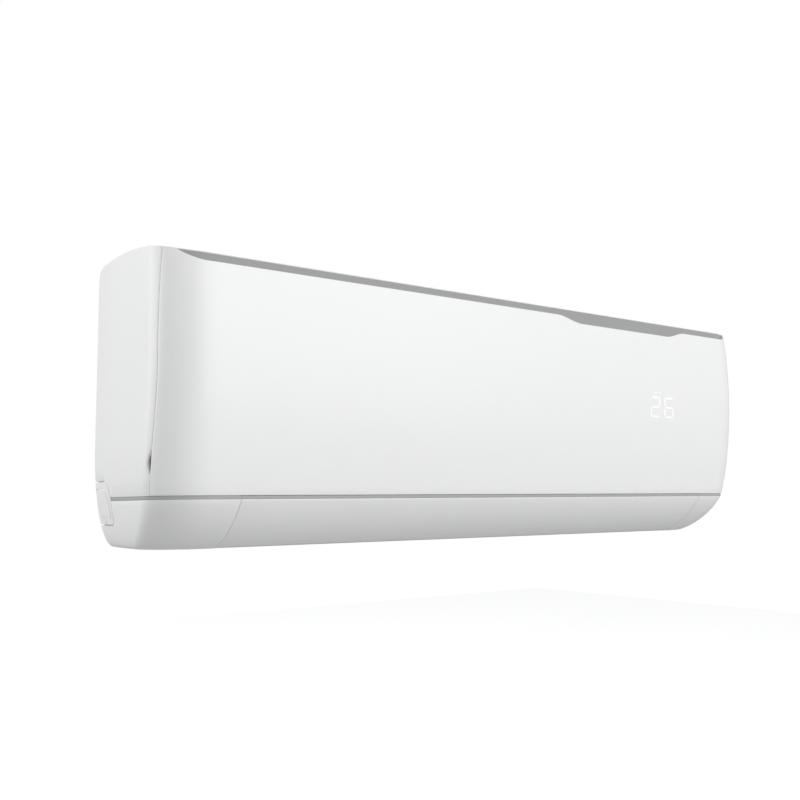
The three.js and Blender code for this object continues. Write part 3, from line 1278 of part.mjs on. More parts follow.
/** The little board behind the button, with the switch that it presses. */
function buttonBoard() {
  const back = bowDepth(BUTTON_Z) - FRAME_IN;
  const x0 = DISPLAY.x + DISPLAY.wide / 2 + 4 + GAP;
  const sheet = box(x0, BUTTON_X + 9, FILTER_D + FILTER_THICK + 1.2, FILTER_D + FILTER_THICK + 2.8, BUTTON_Z - 9, BUTTON_Z + 9);
  const head = rodY(2, BUTTON_X, BUTTON_Z, FILTER_D + FILTER_THICK + 2.5, back - 3 - BUTTON_OUT - GAP, 12);
  const pads = [-7.5, 7.5].map((step) =>
    box(BUTTON_X + 6, BUTTON_X + 8.5, FILTER_D + FILTER_THICK + 2.5, back - 1.4, BUTTON_Z + step - 1, BUTTON_Z + step + 1));
  return join(sheet, head, pads);
}

// ---------------------------------------------------------------- assembly

function assemble() {
  const casing = new THREE.Group();
  const cover = endCover();
  const knockout = knockoutCover();
  casing.add(
    part("mounting_plate", mountingPlate(), "steel"),
    part("rear_chassis", rearChassis(), "inner"),
    part("front_frame", frontFrame(), "inner"),
    part("top_grille", topGrille(), "shell"),
    part("end_cover_right", cover, "shell"),
    part("end_cover_left", mirrored(cover), "shell"),
    part("knockout_cover_right", knockout, "shell"),
    part("knockout_cover_left", mirrored(knockout), "shell"),
    part("top_band", topBand(), "silver"),
    part("accent_strip", accentStrip(), "silver"),
  );
  const cooling = new THREE.Group();
  Object.entries(SLABS).forEach(([name, [from, to]]) =>
    cooling.add(part(name, sidePrism(slabOutline(from, to), -SLAB_HALF, SLAB_HALF), "fins")));
  cooling.add(
    part("tube_sheet_right", tubeSheet(1), "steel"),
    part("tube_sheet_left", mirrored(tubeSheet(0)), "steel"),
    part("gas_pipe", pipe(GAS), "copper"),
    part("liquid_pipe", pipe(LIQUID), "copper"),
    part("gas_flare_nut", flareNut(GAS), "brass"),
    part("liquid_flare_nut", flareNut(LIQUID), "brass"),
    part("pipe_clamp", pipeClamp(), "inner"),
    part("drain_pan", drainPan(), "inner"),
    part("drain_spigot", drainSpigot(), "inner"),
    part("drain_plug", drainPlug(), "rubber"),
  );
  const air = new THREE.Group();
  air.add(
    part("cross_flow_fan", crossFlowFan(), "dark"),
    part("motor_shaft", motorShaft(), "steel"),
    part("stub_shaft", stubShaft(), "steel"),
    part("fan_motor", fanMotor(), "steel"),
    part("motor_bracket", motorBracket(), "inner"),
    part("bearing_bush", bearingBush(), "rubber"),
    part("bearing_holder", bearingHolder(), "inner"),
    vaneBank("left", -1),
    vaneBank("right", 1),
    part("louver_motor", louverMotor(), "steel"),
    part("louver_bush", louverBush(), "inner"),
    part("air_filter_right", airFilter(), "mesh"),
    part("air_filter_left", mirrored(airFilter()), "mesh"),
  );
  const electrics = new THREE.Group();
  electrics.add(
    part("control_box", controlBox(), "inner"),
    part("control_box_lid", controlBoxLid(), "inner"),
    part("circuit_board", circuitBoard(), "board"),
    part("terminal_block", terminalBlock(), "dark"),
    part("display_housing", displayHousing(), "dark"),
    part("display_board", displayBoard(), "board"),
    part("button_board", buttonBoard(), "board"),
    part("emergency_button", emergencyButton(), "inner"),
  );
  const unit = new THREE.Group();
  unit.add(casing, cooling, air, electrics);
  unit.add(part("outlet_louver", outletLouver(), "shell"));
  unit.add(part("front_panel", frontPanel(), "shell"));
  unit.position.z = -(PLATE_LOW + PLATE_HIGH) / 2;
  const root = new THREE.Group();
  root.add(unit);
  return root;
}

export default assemble();
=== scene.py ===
"""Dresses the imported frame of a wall-mounted indoor unit of a split air conditioner.

Pieces are drawn in the unit's own millimetres: x to the right as the unit is faced, d the depth in
front of the wall and z the height above the underside. They are stored in the frame's metres.
"""

from __future__ import annotations

import json
import logging
import math
from dataclasses import dataclass, field
from enum import Enum
from functools import partial
from typing import Callable, Sequence

import bpy
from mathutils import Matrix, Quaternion, Vector

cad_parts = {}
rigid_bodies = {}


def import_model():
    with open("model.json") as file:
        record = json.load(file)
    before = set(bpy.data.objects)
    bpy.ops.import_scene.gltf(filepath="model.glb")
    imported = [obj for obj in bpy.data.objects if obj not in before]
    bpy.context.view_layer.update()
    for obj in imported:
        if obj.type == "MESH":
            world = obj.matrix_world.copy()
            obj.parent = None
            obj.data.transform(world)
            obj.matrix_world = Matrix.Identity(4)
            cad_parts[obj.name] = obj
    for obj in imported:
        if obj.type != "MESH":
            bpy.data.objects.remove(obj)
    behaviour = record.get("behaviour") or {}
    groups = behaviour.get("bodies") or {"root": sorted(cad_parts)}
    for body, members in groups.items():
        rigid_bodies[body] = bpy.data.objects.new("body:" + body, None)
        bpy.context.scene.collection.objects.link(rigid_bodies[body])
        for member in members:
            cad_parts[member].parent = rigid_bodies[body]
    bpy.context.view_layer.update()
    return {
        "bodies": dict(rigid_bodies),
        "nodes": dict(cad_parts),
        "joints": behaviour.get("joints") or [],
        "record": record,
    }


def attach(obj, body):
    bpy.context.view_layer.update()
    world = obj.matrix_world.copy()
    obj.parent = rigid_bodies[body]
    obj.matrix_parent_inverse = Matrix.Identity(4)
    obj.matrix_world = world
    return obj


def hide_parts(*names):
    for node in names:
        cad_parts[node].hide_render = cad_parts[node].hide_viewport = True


LOG = logging.getLogger("indoor_unit")
MM = 0.001
UNDERSIDE = -0.167
FINER = 1.6  # how strongly rows gather at the end of a run
TUBE_MERGE = 0.001  # millimetres within which a tube's points are merged
TUBE_ANGLE = 40.0  # degrees below which a tube is shaded smooth

Point = tuple[float, float, float]
Flat = tuple[float, float]
Column = Callable[[float], Flat]
Piece = bpy.types.Object


def to_frame(x: float, d: float, z: float) -> Vector:
    """Turns the unit's millimetres into a point of the frame."""
    return Vector((x * MM, -d * MM, z * MM + UNDERSIDE))


# ------------------------------------------------------------------ modelling helpers


def clear_selection() -> None:
    """Leaves object mode with nothing selected."""
    if bpy.context.object is not None and bpy.context.object.mode != "OBJECT":
        bpy.ops.object.mode_set(mode="OBJECT")
    bpy.ops.object.select_all(action="DESELECT")


def make_active(piece: Piece) -> None:
    """Selects one piece and makes it the active one."""
    clear_selection()
    piece.select_set(True)
    bpy.context.view_layer.objects.active = piece


def in_edit_mode(piece: Piece, work: Callable[[], None]) -> None:
    """Runs edit operators on all of one piece's mesh."""
    make_active(piece)
    bpy.ops.object.mode_set(mode="EDIT")
    bpy.ops.mesh.select_all(action="SELECT")
    work()
    bpy.ops.object.mode_set(mode="OBJECT")


def apply_modifier(piece: Piece, kind: str, **settings: object) -> None:
    """Adds a modifier, sets it and applies it."""
    make_active(piece)
    modifier = piece.modifiers.new(kind.lower(), kind)
    for name, value in settings.items():
        setattr(modifier, name, value)
    bpy.ops.object.modifier_apply(modifier=modifier.name)


def settle(piece: Piece) -> None:
    """Puts the object's place into its mesh."""
    make_active(piece)
    bpy.ops.object.transform_apply(location=True, rotation=True, scale=True)


def merge_points(piece: Piece, reach: float = 0.01) -> None:
    """Merges points that lie within a reach in millimetres."""
    in_edit_mode(piece, lambda: bpy.ops.mesh.remove_doubles(threshold=reach * MM))


def point_outward(piece: Piece, middle: Vector) -> None:
    """Turns the faces of an open sheet away from a point inside the unit."""
    score = sum((face.center - middle).dot(face.normal) * face.area for face in piece.data.polygons)
    if score < 0:
        in_edit_mode(piece, bpy.ops.mesh.flip_normals)


def make_consistent(piece: Piece) -> None:
    """Turns the faces of a closed mesh outward."""
    in_edit_mode(piece, lambda: bpy.ops.mesh.normals_make_consistent(inside=False))


def smooth(piece: Piece, angle: float = 32.0) -> None:
    """Shades smooth where faces meet at less than an angle in degrees."""
    make_active(piece)
    bpy.ops.object.shade_smooth_by_angle(angle=math.radians(angle))


def draw_sheet(name: str, across: int, up: int, place: Callable[[int, int], Point]) -> Piece:
    """Adds a grid and puts each of its points in its place.

    Args:
        name: the piece's name.
        across: how many faces the grid has in its first direction.
        up: how many it has in its second.
        place: gives a point in millimetres for a column and a row.

    Returns:
        The open sheet.
    """
    clear_selection()
    bpy.ops.mesh.primitive_grid_add(x_subdivisions=across, y_subdivisions=up, size=1.0)
    sheet = bpy.context.object
    sheet.name = name
    for vertex in sheet.data.vertices:
        column = round((vertex.co.x + 0.5) * across)
        row = round((vertex.co.y + 0.5) * up)
        vertex.co = to_frame(*place(column, row))
    sheet.data.update()
    return sheet


def thicken(piece: Piece, wall: float, edge: float = 0.35, segments: int = 2) -> Piece:
    """Gives a sheet its wall on the inner side and softens its edges, both in millimetres."""
    apply_modifier(piece, "SOLIDIFY", thickness=wall * MM, offset=-1.0, use_even_offset=True)
    if edge:
        round_edges(piece, edge, segments)
    return piece


def round_edges(piece: Piece, edge: float, segments: int = 2, limit: float = 40.0) -> None:
    """Bevels the edges that are sharper than a limit in degrees."""
    apply_modifier(piece, "BEVEL", width=edge * MM, segments=segments, limit_method="ANGLE",
                   angle_limit=math.radians(limit), use_clamp_overlap=True)
    smooth(piece)


def draw_wall(name: str, across: int, up: int, place: Callable[[int, int], Point], wall: float,
              edge: float = 0.35, segments: int = 2, within: Vector | None = None) -> Piece:
    """Draws a sheet as draw_sheet does, turns it outward and gives it its wall.

    Args:
        name: the piece's name.
        across: how many faces the grid has in its first direction.
        up: how many it has in its second.
        place: gives a point in millimetres for a column and a row.
        wall: how thick the wall is, in millimetres.
        edge: how far its edges are rounded, in millimetres.
        segments: how many steps the rounding gets.
        within: a point on the wall's inner side, the unit's heart if none is given.

    Returns:
        The closed wall.
    """
    sheet = draw_sheet(name, across, up, place)
    point_outward(sheet, HEART if within is None else within)
    return thicken(sheet, wall, edge, segments)


def draw_prism(name: str, outline: Sequence[Flat], start: float, run: float) -> Piece:
    """Fills an outline seen from the end and extrudes it along the length.

    Args:
        name: the piece's name.
        outline: the corners as (d, z) in millimetres.
        start: the x of the first face.
        run: how far the face is carried along x.

    Returns:
        The closed prism.
    """
    clear_selection()
    mesh = bpy.data.meshes.new(name)
    points = [to_frame(start, d, z) for d, z in outline]
    mesh.from_pydata(points, [], [list(range(len(points)))])
    piece = bpy.data.objects.new(name, mesh)
    bpy.context.scene.collection.objects.link(piece)
    move = {"value": (run * MM, 0.0, 0.0)}
    in_edit_mode(piece, lambda: bpy.ops.mesh.extrude_region_move(TRANSFORM_OT_translate=move))
    make_consistent(piece)
    return piece


def draw_pin(centre: Flat, radius: float, start: float, run: float, edge: float) -> Piece:
    """Draws a round pin along the length, its ends softened."""
    pin = draw_prism("pin", arc(*centre, radius, 0, 345, 23), start, run)
    round_edges(pin, edge)
    return pin


def join_pieces(pieces: Sequence[Piece], name: str) -> Piece:
    """Joins several meshes into the first one."""
    clear_selection()
    for piece in pieces:
        piece.select_set(True)
    bpy.context.view_layer.objects.active = pieces[0]
    if len(pieces) > 1:
        bpy.ops.object.join()
    pieces[0].name = name
    return pieces[0]


def carve(piece: Piece, cutter: Piece) -> None:
    """Cuts one closed piece away from another."""
    apply_modifier(piece, "BOOLEAN", operation="DIFFERENCE", object=cutter, solver="MANIFOLD")
    bpy.data.objects.remove(cutter)


def delete_faces(piece: Piece, chosen: Callable[[Vector], bool]) -> None:
    """Deletes the faces whose centres are chosen."""
    make_active(piece)
    bpy.ops.object.mode_set(mode="EDIT")
    bpy.ops.mesh.select_mode(type="FACE")
    bpy.ops.mesh.select_all(action="DESELECT")
    bpy.ops.object.mode_set(mode="OBJECT")
    for face in piece.data.polygons:
        face.select = chosen(face.center)
    bpy.ops.object.mode_set(mode="EDIT")
    bpy.ops.mesh.delete(type="FACE")
    bpy.ops.object.mode_set(mode="OBJECT")


def draw_tube(name: str, points: Sequence[Point], radius: float, sides: int) -> Piece:
    """Sweeps a round section along a path and makes it a mesh.

    Args:
        name: the piece's name.
        points: the path in millimetres.
        radius: the tube's radius in millimetres.
        sides: the curve's bevel resolution.

    Returns:
        The tube with both ends filled.
    """
    clear_selection()
    curve = bpy.data.curves.new(name, "CURVE")
    curve.dimensions = "3D"
    curve.bevel_depth = radius * MM
    curve.bevel_resolution = sides
    curve.use_fill_caps = True
    spline = curve.splines.new("POLY")
    spline.points.add(len(points) - 1)
    for spot, point in zip(spline.points, points):
        spot.co = (*to_frame(*point), 1.0)
    piece = bpy.data.objects.new(name, curve)
    bpy.context.scene.collection.objects.link(piece)
    make_active(piece)
    bpy.ops.object.convert(target="MESH")
    merge_points(piece, TUBE_MERGE)
    make_consistent(piece)
    smooth(piece, TUBE_ANGLE)
    return piece


def arc(a: float, b: float, radius: float, start: float, end: float, steps: int) -> list[Flat]:
    """Points of an arc round (a, b) between two angles in degrees."""
    turns = [math.radians(start + (end - start) * step / steps) for step in range(steps + 1)]
    return [(a + radius * math.cos(turn), b + radius * math.sin(turn)) for turn in turns]


def toward_end(share: float) -> float:
    """Lets steps grow finer toward the end of a run."""
    return 1.0 - (1.0 - share) ** FINER


def blend_range(start: float, end: float, count: int) -> list[float]:
    """Evenly spaced values from start to end, both included."""
    return [start + (end - start) * step / (count - 1) for step in range(count)]


# ------------------------------------------------------------------ the outer form


@dataclass(frozen=True)
class OuterForm:
    """The unit's outer surface, as in the CAD but for the seam, swept as the photograph has it."""

    length: float = 835.0
    height: float = 285.0
    depth: float = 192.3
    fullest: float = 195.0
    front_bow: float = 590.0
    chin_top: float = 46.0
    chin_foot: float = 114.0
    chin_bow: float = 112.5
    top_flat: float = 55.0
    top_bow: float = 530.0
    rear_round: float = 12.0
    corner_x: float = 50.0
    corner_d: float = 42.0
    foot_taper_z: float = 100.0
    foot_taper_x: float = 22.0
    rear_taper_d: float = 65.0
    rear_taper_x: float = 3.0
    hinge_d: float = 157.5
    hinge_z: float = 269.5
    hinge_clear: float = 8.0
    seam_bend: float = 175.0
    seam_foot: float = 50.0
    seam_sweep: float = 19.0
    seam_power: float = 1.7

    def bow_depth(self, z: float) -> float:
        """Depth of the bowed front at a height."""
        return self.depth - self.front_bow + math.sqrt(self.front_bow**2 - (z - self.fullest) ** 2)

    def chin_centre(self) -> Vector:
        """Centre of the chin's arc, as (d, z)."""
        top = Vector((self.bow_depth(self.chin_top), self.chin_top))
        foot = Vector((self.chin_foot, 0.0))
        chord = top - foot
        inward = Vector((-chord.y, chord.x)).normalized()
        return (top + foot) / 2 + inward * math.sqrt(self.chin_bow**2 - chord.length_squared / 4)

    def front_depth(self, z: float) -> float:
        """Depth of the front or chin at a height."""
        if z >= self.chin_top:
            return self.bow_depth(z)
        centre = self.chin_centre()
        return centre.x + math.sqrt(self.chin_bow**2 - (z - centre.y) ** 2)

    def lean(self, z: float) -> float:
        """How much longer a level cut through the front is than the wall's own thickness."""
        if z >= self.chin_top:
            return 1.0
        return self.chin_bow / (self.front_depth(z) - self.chin_centre().x)

    def top_height(self, d: float) -> float:
        """Height of the top at a depth, its rounded rear edge included."""
        if d < self.rear_round:
            reach = self.rear_round - max(d, 0.0)
            return self.height - self.rear_round + math.sqrt(self.rear_round**2 - reach**2)
        if d <= self.top_flat:
            return self.height
        return self.height - self.top_bow + math.sqrt(self.top_bow**2 - (d - self.top_flat) ** 2)

    def half(self, z: float) -> float:
        """Half of the length at a height."""
        reach = min(max(self.foot_taper_z - z, 0.0) / self.foot_taper_z, 1.0)
        return self.length / 2 - self.foot_taper_x * (1 - math.sqrt(1 - reach**2))

    def side_x(self, d: float, z: float, inset: float = 0.0) -> float:
        """How far out the end wall lies at a depth and height."""
        share = max(self.rear_taper_d - d, 0.0) / self.rear_taper_d
        return self.half(z) - self.rear_taper_x * share**2 - inset

    def corner(self, angle: float, z: float, inset: float = 0.0) -> Flat:
        """A point of the front corner, from 0 degrees at the end wall to 90 at the front."""
        turn = math.radians(angle)
        round_x, round_d = self.corner_x - inset, self.corner_d - inset
        front = self.front_depth(z) - inset * self.lean(z)
        x = self.half(z) - inset - round_x * (1 - math.cos(turn))
        return x, front - round_d * (1 - math.sin(turn))

    def corner_angle(self, d: float, z: float, inset: float = 0.0) -> float:
        """The corner's angle at which it reaches a depth."""
        front = self.front_depth(z) - inset * self.lean(z)
        reach = self.corner_d - inset
        share = (d - front + reach) / reach
        return math.degrees(math.asin(max(-1.0, min(1.0, share))))

    def seam_depth(self, z: float) -> float:
        """Depth of the seam beside the panel: round the hinge, upright, then swept back."""
        if z > self.hinge_z:
            reach = max(self.hinge_clear**2 - (z - self.hinge_z) ** 2, 0.0)
            return self.hinge_d + math.sqrt(reach)
        share = max(self.seam_bend - z, 0.0) / (self.seam_bend - self.seam_foot)
        return self.hinge_d + self.hinge_clear - self.seam_sweep * share**self.seam_power


FORM = OuterForm()
HEART = to_frame(0.0, 80.0, 140.0)


def around_front(low_angle: Callable[[float], float], inset: float, steps: int,
                 xs: Sequence[float]) -> list[Column]:
    """Columns that run from one front corner across the front to the other.

    Args:
        low_angle: the corner angle at which the first column stands, for a height.
        inset: how far inside the outer form the columns lie.
        steps: how many columns each corner gets.
        xs: the places of the columns between the corners, from right to left.

    Returns:
        The columns from right to left.
    """

    def corner(share: float, sign: int) -> Column:
        def at(z: float) -> Flat:
            start = low_angle(z)
            x, d = FORM.corner(start + (90.0 - start) * share, z, inset)
            return sign * x, d

        return at

    def front(x: float) -> Column:
        return lambda z: (x, FORM.front_depth(z) - inset * FORM.lean(z))

    right = [corner(step / steps, 1) for step in range(steps + 1)]
    left = [corner(step / steps, -1) for step in reversed(range(steps + 1))]
    return right + [front(x) for x in xs] + left


def side_column(d: float, sign: int = 1, inset: float = 0.0) -> Column:
    """A column of an end wall at a depth."""
    return lambda z: (sign * FORM.side_x(d, z, inset), d)


def meet_top(column: Column, start: float, height: Callable[[float, float], float]) -> float:
    """Closes in on the height at which a column ends.

    Args:
        column: the column.
        start: a height near its end.
        height: the height at which anything at an x and a depth ends.

    Returns:
        The column's own end.
    """
    z = start
    for _ in range(8):
        z = height(*column(z))
    return z


# ------------------------------------------------------------------ finishes


class Weave(Enum):
    """Patterns that a surface can carry."""

    MOULDED = "moulded"
    DRAWN = "drawn"
    SPANGLE = "spangle"
    NET = "net"
    BOARD = "board"


@dataclass(frozen=True)
class Finish:
    """One procedural surface."""

    name: str
    color: tuple[float, float, float]
    roughness: float
    weave: Weave = Weave.MOULDED
    metallic: float = 0.0
    coat: float = 0.0
    specular: float = 0.5
    grain: float = 0.02
    grain_size: float = 0.35
    tone: float = 0.02
    stretch: tuple[float, float, float] = (1.0, 1.0, 1.0)
    second: tuple[float, float, float] = (0.5, 0.5, 0.5)
    glow: float = 0.0


SHELL = Finish("shell_white", (0.885, 0.885, 0.883), 0.42, coat=0.06, grain=0.012,
               grain_size=0.3, tone=0.012)
COVER = Finish("cover_white", (0.87, 0.87, 0.868), 0.46, coat=0.04, tone=0.015)
SILVER = Finish("silver_trim", (0.36, 0.361, 0.363), 0.7, specular=0.15, grain=0.01, tone=0.03)
STRIP = Finish("silver_strip", (0.45, 0.451, 0.453), 0.65, specular=0.15, grain=0.01, tone=0.03)
INNER = Finish("inner_white", (0.74, 0.745, 0.735), 0.52, grain=0.06, grain_size=0.6, tone=0.03)
DARK = Finish("dark_moulding", (0.035, 0.037, 0.04), 0.5, grain=0.06, grain_size=0.5, tone=0.15)
ZINC = Finish("zinc_sheet", (0.56, 0.57, 0.58), 0.42, Weave.SPANGLE, metallic=0.9,
              grain_size=9.0, tone=0.12)
STEEL = Finish("drawn_steel", (0.6, 0.61, 0.62), 0.32, Weave.DRAWN, metallic=1.0, grain=0.05,
               grain_size=0.5, tone=0.1, stretch=(0.03, 1.0, 1.0))
FINS = Finish("fin_aluminium", (0.72, 0.74, 0.76), 0.35, Weave.DRAWN, metallic=0.95, grain=0.03,
              grain_size=2.0, tone=0.12, stretch=(1.0, 0.15, 0.15))
COPPER = Finish("drawn_copper", (0.72, 0.36, 0.2), 0.3, Weave.DRAWN, metallic=1.0, grain=0.04,
                grain_size=1.2, tone=0.2, stretch=(0.08, 1.0, 1.0))
BRASS = Finish("turned_brass", (0.72, 0.52, 0.22), 0.3, Weave.DRAWN, metallic=1.0, grain=0.04,
               grain_size=0.5, tone=0.12)
RUBBER = Finish("black_rubber", (0.022, 0.022, 0.024), 0.8, grain=0.1, grain_size=0.7, tone=0.2)
BOARD = Finish("green_board", (0.03, 0.16, 0.075), 0.35, Weave.BOARD, grain_size=3.2, tone=0.1,
               second=(0.06, 0.27, 0.12))
NET = Finish("filter_net", (0.2, 0.215, 0.23), 0.65, Weave.NET, grain=0.3, grain_size=1.3, tone=0.1)
FIGURE = Finish("lit_figure", (0.97, 0.975, 0.98), 0.35, grain=0.01, tone=0.01, glow=0.12)


class Finisher:
    """Makes each finish once, out of shared node groups."""

    COAT_ROUGHNESS = 0.12
    BUMP_STRENGTH = 0.6
    GRAIN_DETAIL = 3.0
    DRIFT_SCALE = 9.0
    DRIFT_DETAIL = 2.0
    SPANGLE_SHADE = 0.78
    TRACK_EDGE = 0.62
    THREAD_SHARE = 0.42

    def __init__(self) -> None:
        """Builds the groups that the materials share."""
        self.made: dict[str, bpy.types.Material] = {}
        self.tone_group = self._build_tone_group()
        self.net_group = self._build_net_group()

    def _new_group(self, name: str, inputs: Sequence[tuple[str, str, object]],
                   outputs: Sequence[tuple[str, str]]) -> bpy.types.NodeTree:
        """Starts a node group with named sockets."""
        group = bpy.data.node_groups.new(name, "ShaderNodeTree")
        for label, kind, value in inputs:
            socket = group.interface.new_socket(label, in_out="INPUT", socket_type=kind)
            if value is not None:
                socket.default_value = value
        for label, kind in outputs:
            group.interface.new_socket(label, in_out="OUTPUT", socket_type=kind)
        group.nodes.new("NodeGroupInput").name = "in"
        group.nodes.new("NodeGroupOutput").name = "out"
        return group

    def _build_tone_group(self) -> bpy.types.NodeTree:
        """Slow drifts of tone and gloss over a surface, with a fine grain as height."""
        group = self._new_group(
            "tone_and_grain",
            [("Color", "NodeSocketColor", (0.8, 0.8, 0.8, 1.0)),
             ("Tone", "NodeSocketFloat", 0.02), ("Roughness", "NodeSocketFloat", 0.4),
             ("Scale", "NodeSocketFloat", 1000.0),
             ("Stretch", "NodeSocketVector", (1.0, 1.0, 1.0))],
            [("Color", "NodeSocketColor"), ("Roughness", "NodeSocketFloat"),
             ("Height", "NodeSocketFloat")],
        )
        nodes, links = group.nodes, group.links
        source, sink = nodes["in"], nodes["out"]
        coordinates = nodes.new("ShaderNodeTexCoord")
        stretched = nodes.new("ShaderNodeVectorMath")
        stretched.operation = "MULTIPLY"
        links.new(coordinates.outputs["Object"], stretched.inputs[0])
        links.new(source.outputs["Stretch"], stretched.inputs[1])
        grain = nodes.new("ShaderNodeTexNoise")
        grain.inputs["Detail"].default_value = self.GRAIN_DETAIL
        links.new(stretched.outputs[0], grain.inputs["Vector"])
        links.new(source.outputs["Scale"], grain.inputs["Scale"])
        drift = nodes.new("ShaderNodeTexNoise")
        drift.inputs["Scale"].default_value = self.DRIFT_SCALE
        drift.inputs["Detail"].default_value = self.DRIFT_DETAIL
        links.new(coordinates.outputs["Object"], drift.inputs["Vector"])
        both = self._math(group, "ADD", drift.outputs["Fac"], grain.outputs["Fac"])
        centred = self._math(group, "SUBTRACT", both, 1.0)
        amount = self._math(group, "MULTIPLY", centred, source.outputs["Tone"])
        factor = self._math(group, "ADD", amount, 1.0)
        shade = nodes.new("ShaderNodeVectorMath")
        shade.operation = "SCALE"
        links.new(source.outputs["Color"], shade.inputs[0])
        links.new(factor, shade.inputs["Scale"])
        links.new(shade.outputs[0], sink.inputs["Color"])
        gloss = self._math(group, "MULTIPLY", source.outputs["Roughness"], factor)
        links.new(gloss, sink.inputs["Roughness"])
        links.new(grain.outputs["Fac"], sink.inputs["Height"])
        return group

    def _build_net_group(self) -> bpy.types.NodeTree:
        """Two crossing sets of threads, with what lies between them open."""
        group = self._new_group(
            "crossed_threads",
            [("Pitch", "NodeSocketFloat", 1.3), ("Thread", "NodeSocketFloat", 0.35)],
            [("Mask", "NodeSocketFloat"), ("Height", "NodeSocketFloat")],
        )
        nodes, links = group.nodes, group.links
        source, sink = nodes["in"], nodes["out"]
        coordinates = nodes.new("ShaderNodeTexCoord")
        split = nodes.new("ShaderNodeSeparateXYZ")
        links.new(coordinates.outputs["Object"], split.inputs[0])
        step = self._math(group, "MULTIPLY", source.outputs["Pitch"], MM)
        threads = []
        for axis in ("X", "Z"):
            turns = self._math(group, "DIVIDE", split.outputs[axis], step)
            share = self._math(group, "FRACT", turns)
            centred = self._math(group, "ABSOLUTE", self._math(group, "SUBTRACT", share, 0.5))
            doubled = self._math(group, "MULTIPLY", centred, 2.0)
            threads.append(self._math(group, "SUBTRACT", 1.0, doubled))
        highest = self._math(group, "MAXIMUM", threads[0], threads[1])
        edge = self._math(group, "SUBTRACT", 1.0, source.outputs["Thread"])
        links.new(self._math(group, "GREATER_THAN", highest, edge), sink.inputs["Mask"])
        links.new(highest, sink.inputs["Height"])
        return group

    @staticmethod
    def _math(group: bpy.types.NodeTree, operation: str, first: object,
              second: object = None) -> object:
        """Adds a Math node, linking sockets and setting numbers."""
        node = group.nodes.new("ShaderNodeMath")
        node.operation = operation
        for socket, value in zip(node.inputs, (first, second)):
            if isinstance(value, (int, float)):
                socket.default_value = value
            elif value is not None:
                group.links.new(value, socket)
        return node.outputs[0]

    def material(self, finish: Finish) -> bpy.types.Material:
        """The material of a finish, made when it is first asked for."""
        if finish.name in self.made:
            return self.made[finish.name]
        material = bpy.data.materials.new(finish.name)
        material.use_nodes = True
        tree = material.node_tree
        shader = tree.nodes["Principled BSDF"]
        shader.inputs["Metallic"].default_value = finish.metallic
        shader.inputs["Specular IOR Level"].default_value = finish.specular
        shader.inputs["Coat Weight"].default_value = finish.coat
        shader.inputs["Coat Roughness"].default_value = self.COAT_ROUGHNESS
        shader.inputs["Emission Strength"].default_value = finish.glow
        if finish.glow:
            shader.inputs["Emission Color"].default_value = (*finish.color, 1.0)
        tone = tree.nodes.new("ShaderNodeGroup")
        tone.node_tree = self.tone_group
        tone.inputs["Color"].default_value = (*finish.color, 1.0)
        tone.inputs["Tone"].default_value = finish.tone
        tone.inputs["Roughness"].default_value = finish.roughness
        tone.inputs["Scale"].default_value = 1.0 / (finish.grain_size * MM)
        tone.inputs["Stretch"].default_value = finish.stretch
        tree.links.new(tone.outputs["Color"], shader.inputs["Base Color"])
        tree.links.new(tone.outputs["Roughness"], shader.inputs["Roughness"])
        height = tone.outputs["Height"]
        if finish.weave is Weave.SPANGLE:
            self._add_spangle(tree, tone, shader, finish)
        if finish.weave is Weave.BOARD:
            self._add_tracks(tree, tone, shader, finish)
        if finish.weave is Weave.NET:
            height = self._add_net(tree, shader, finish)
        bump = tree.nodes.new("ShaderNodeBump")
        bump.inputs["Strength"].default_value = self.BUMP_STRENGTH
        bump.inputs["Distance"].default_value = finish.grain * MM
        tree.links.new(height, bump.inputs["Height"])
        tree.links.new(bump.outputs["Normal"], shader.inputs["Normal"])
        self.made[finish.name] = material
        return material

    def _cells(self, tree: bpy.types.NodeTree, size: float) -> bpy.types.Node:
        """Adds a cell pattern of a size in millimetres."""
        coordinates = tree.nodes.new("ShaderNodeTexCoord")
        cells = tree.nodes.new("ShaderNodeTexVoronoi")
        cells.inputs["Scale"].default_value = 1.0 / (size * MM)
        tree.links.new(coordinates.outputs["Object"], cells.inputs["Vector"])
        return cells

    def _mix(self, tree: bpy.types.NodeTree, share: object, first: object,
             second: object) -> object:
        """Adds a colour mix and returns its result."""
        mix = tree.nodes.new("ShaderNodeMix")
        mix.data_type = "RGBA"
        tree.links.new(share, mix.inputs[0])
        for socket, value in ((mix.inputs[6], first), (mix.inputs[7], second)):
            if isinstance(value, tuple):
                socket.default_value = value
            else:
                tree.links.new(value, socket)
        return mix.outputs[2]

    def _add_spangle(self, tree: bpy.types.NodeTree, tone: bpy.types.Node,
                     shader: bpy.types.Node, finish: Finish) -> None:
        """Crystals of a zinc coat, each with its own shade."""
        cells = self._cells(tree, finish.grain_size)
        split = tree.nodes.new("ShaderNodeSeparateColor")
        tree.links.new(cells.outputs["Color"], split.inputs[0])
        darker = tuple(self.SPANGLE_SHADE * part for part in finish.color) + (1.0,)
        color = self._mix(tree, split.outputs[0], tone.outputs["Color"], darker)
        tree.links.new(color, shader.inputs["Base Color"])

    def _add_tracks(self, tree: bpy.types.NodeTree, tone: bpy.types.Node,
                    shader: bpy.types.Node, finish: Finish) -> None:
        """Copper tracks that show through a board's lacquer."""
        cells = self._cells(tree, finish.grain_size)
        cells.distance = "CHEBYCHEV"
        cells.feature = "F2"
        band = tree.nodes.new("ShaderNodeMath")
        band.operation = "GREATER_THAN"
        band.inputs[1].default_value = self.TRACK_EDGE
        tree.links.new(cells.outputs["Distance"], band.inputs[0])
        lighter = (*finish.second, 1.0)
        color = self._mix(tree, band.outputs[0], tone.outputs["Color"], lighter)
        tree.links.new(color, shader.inputs["Base Color"])

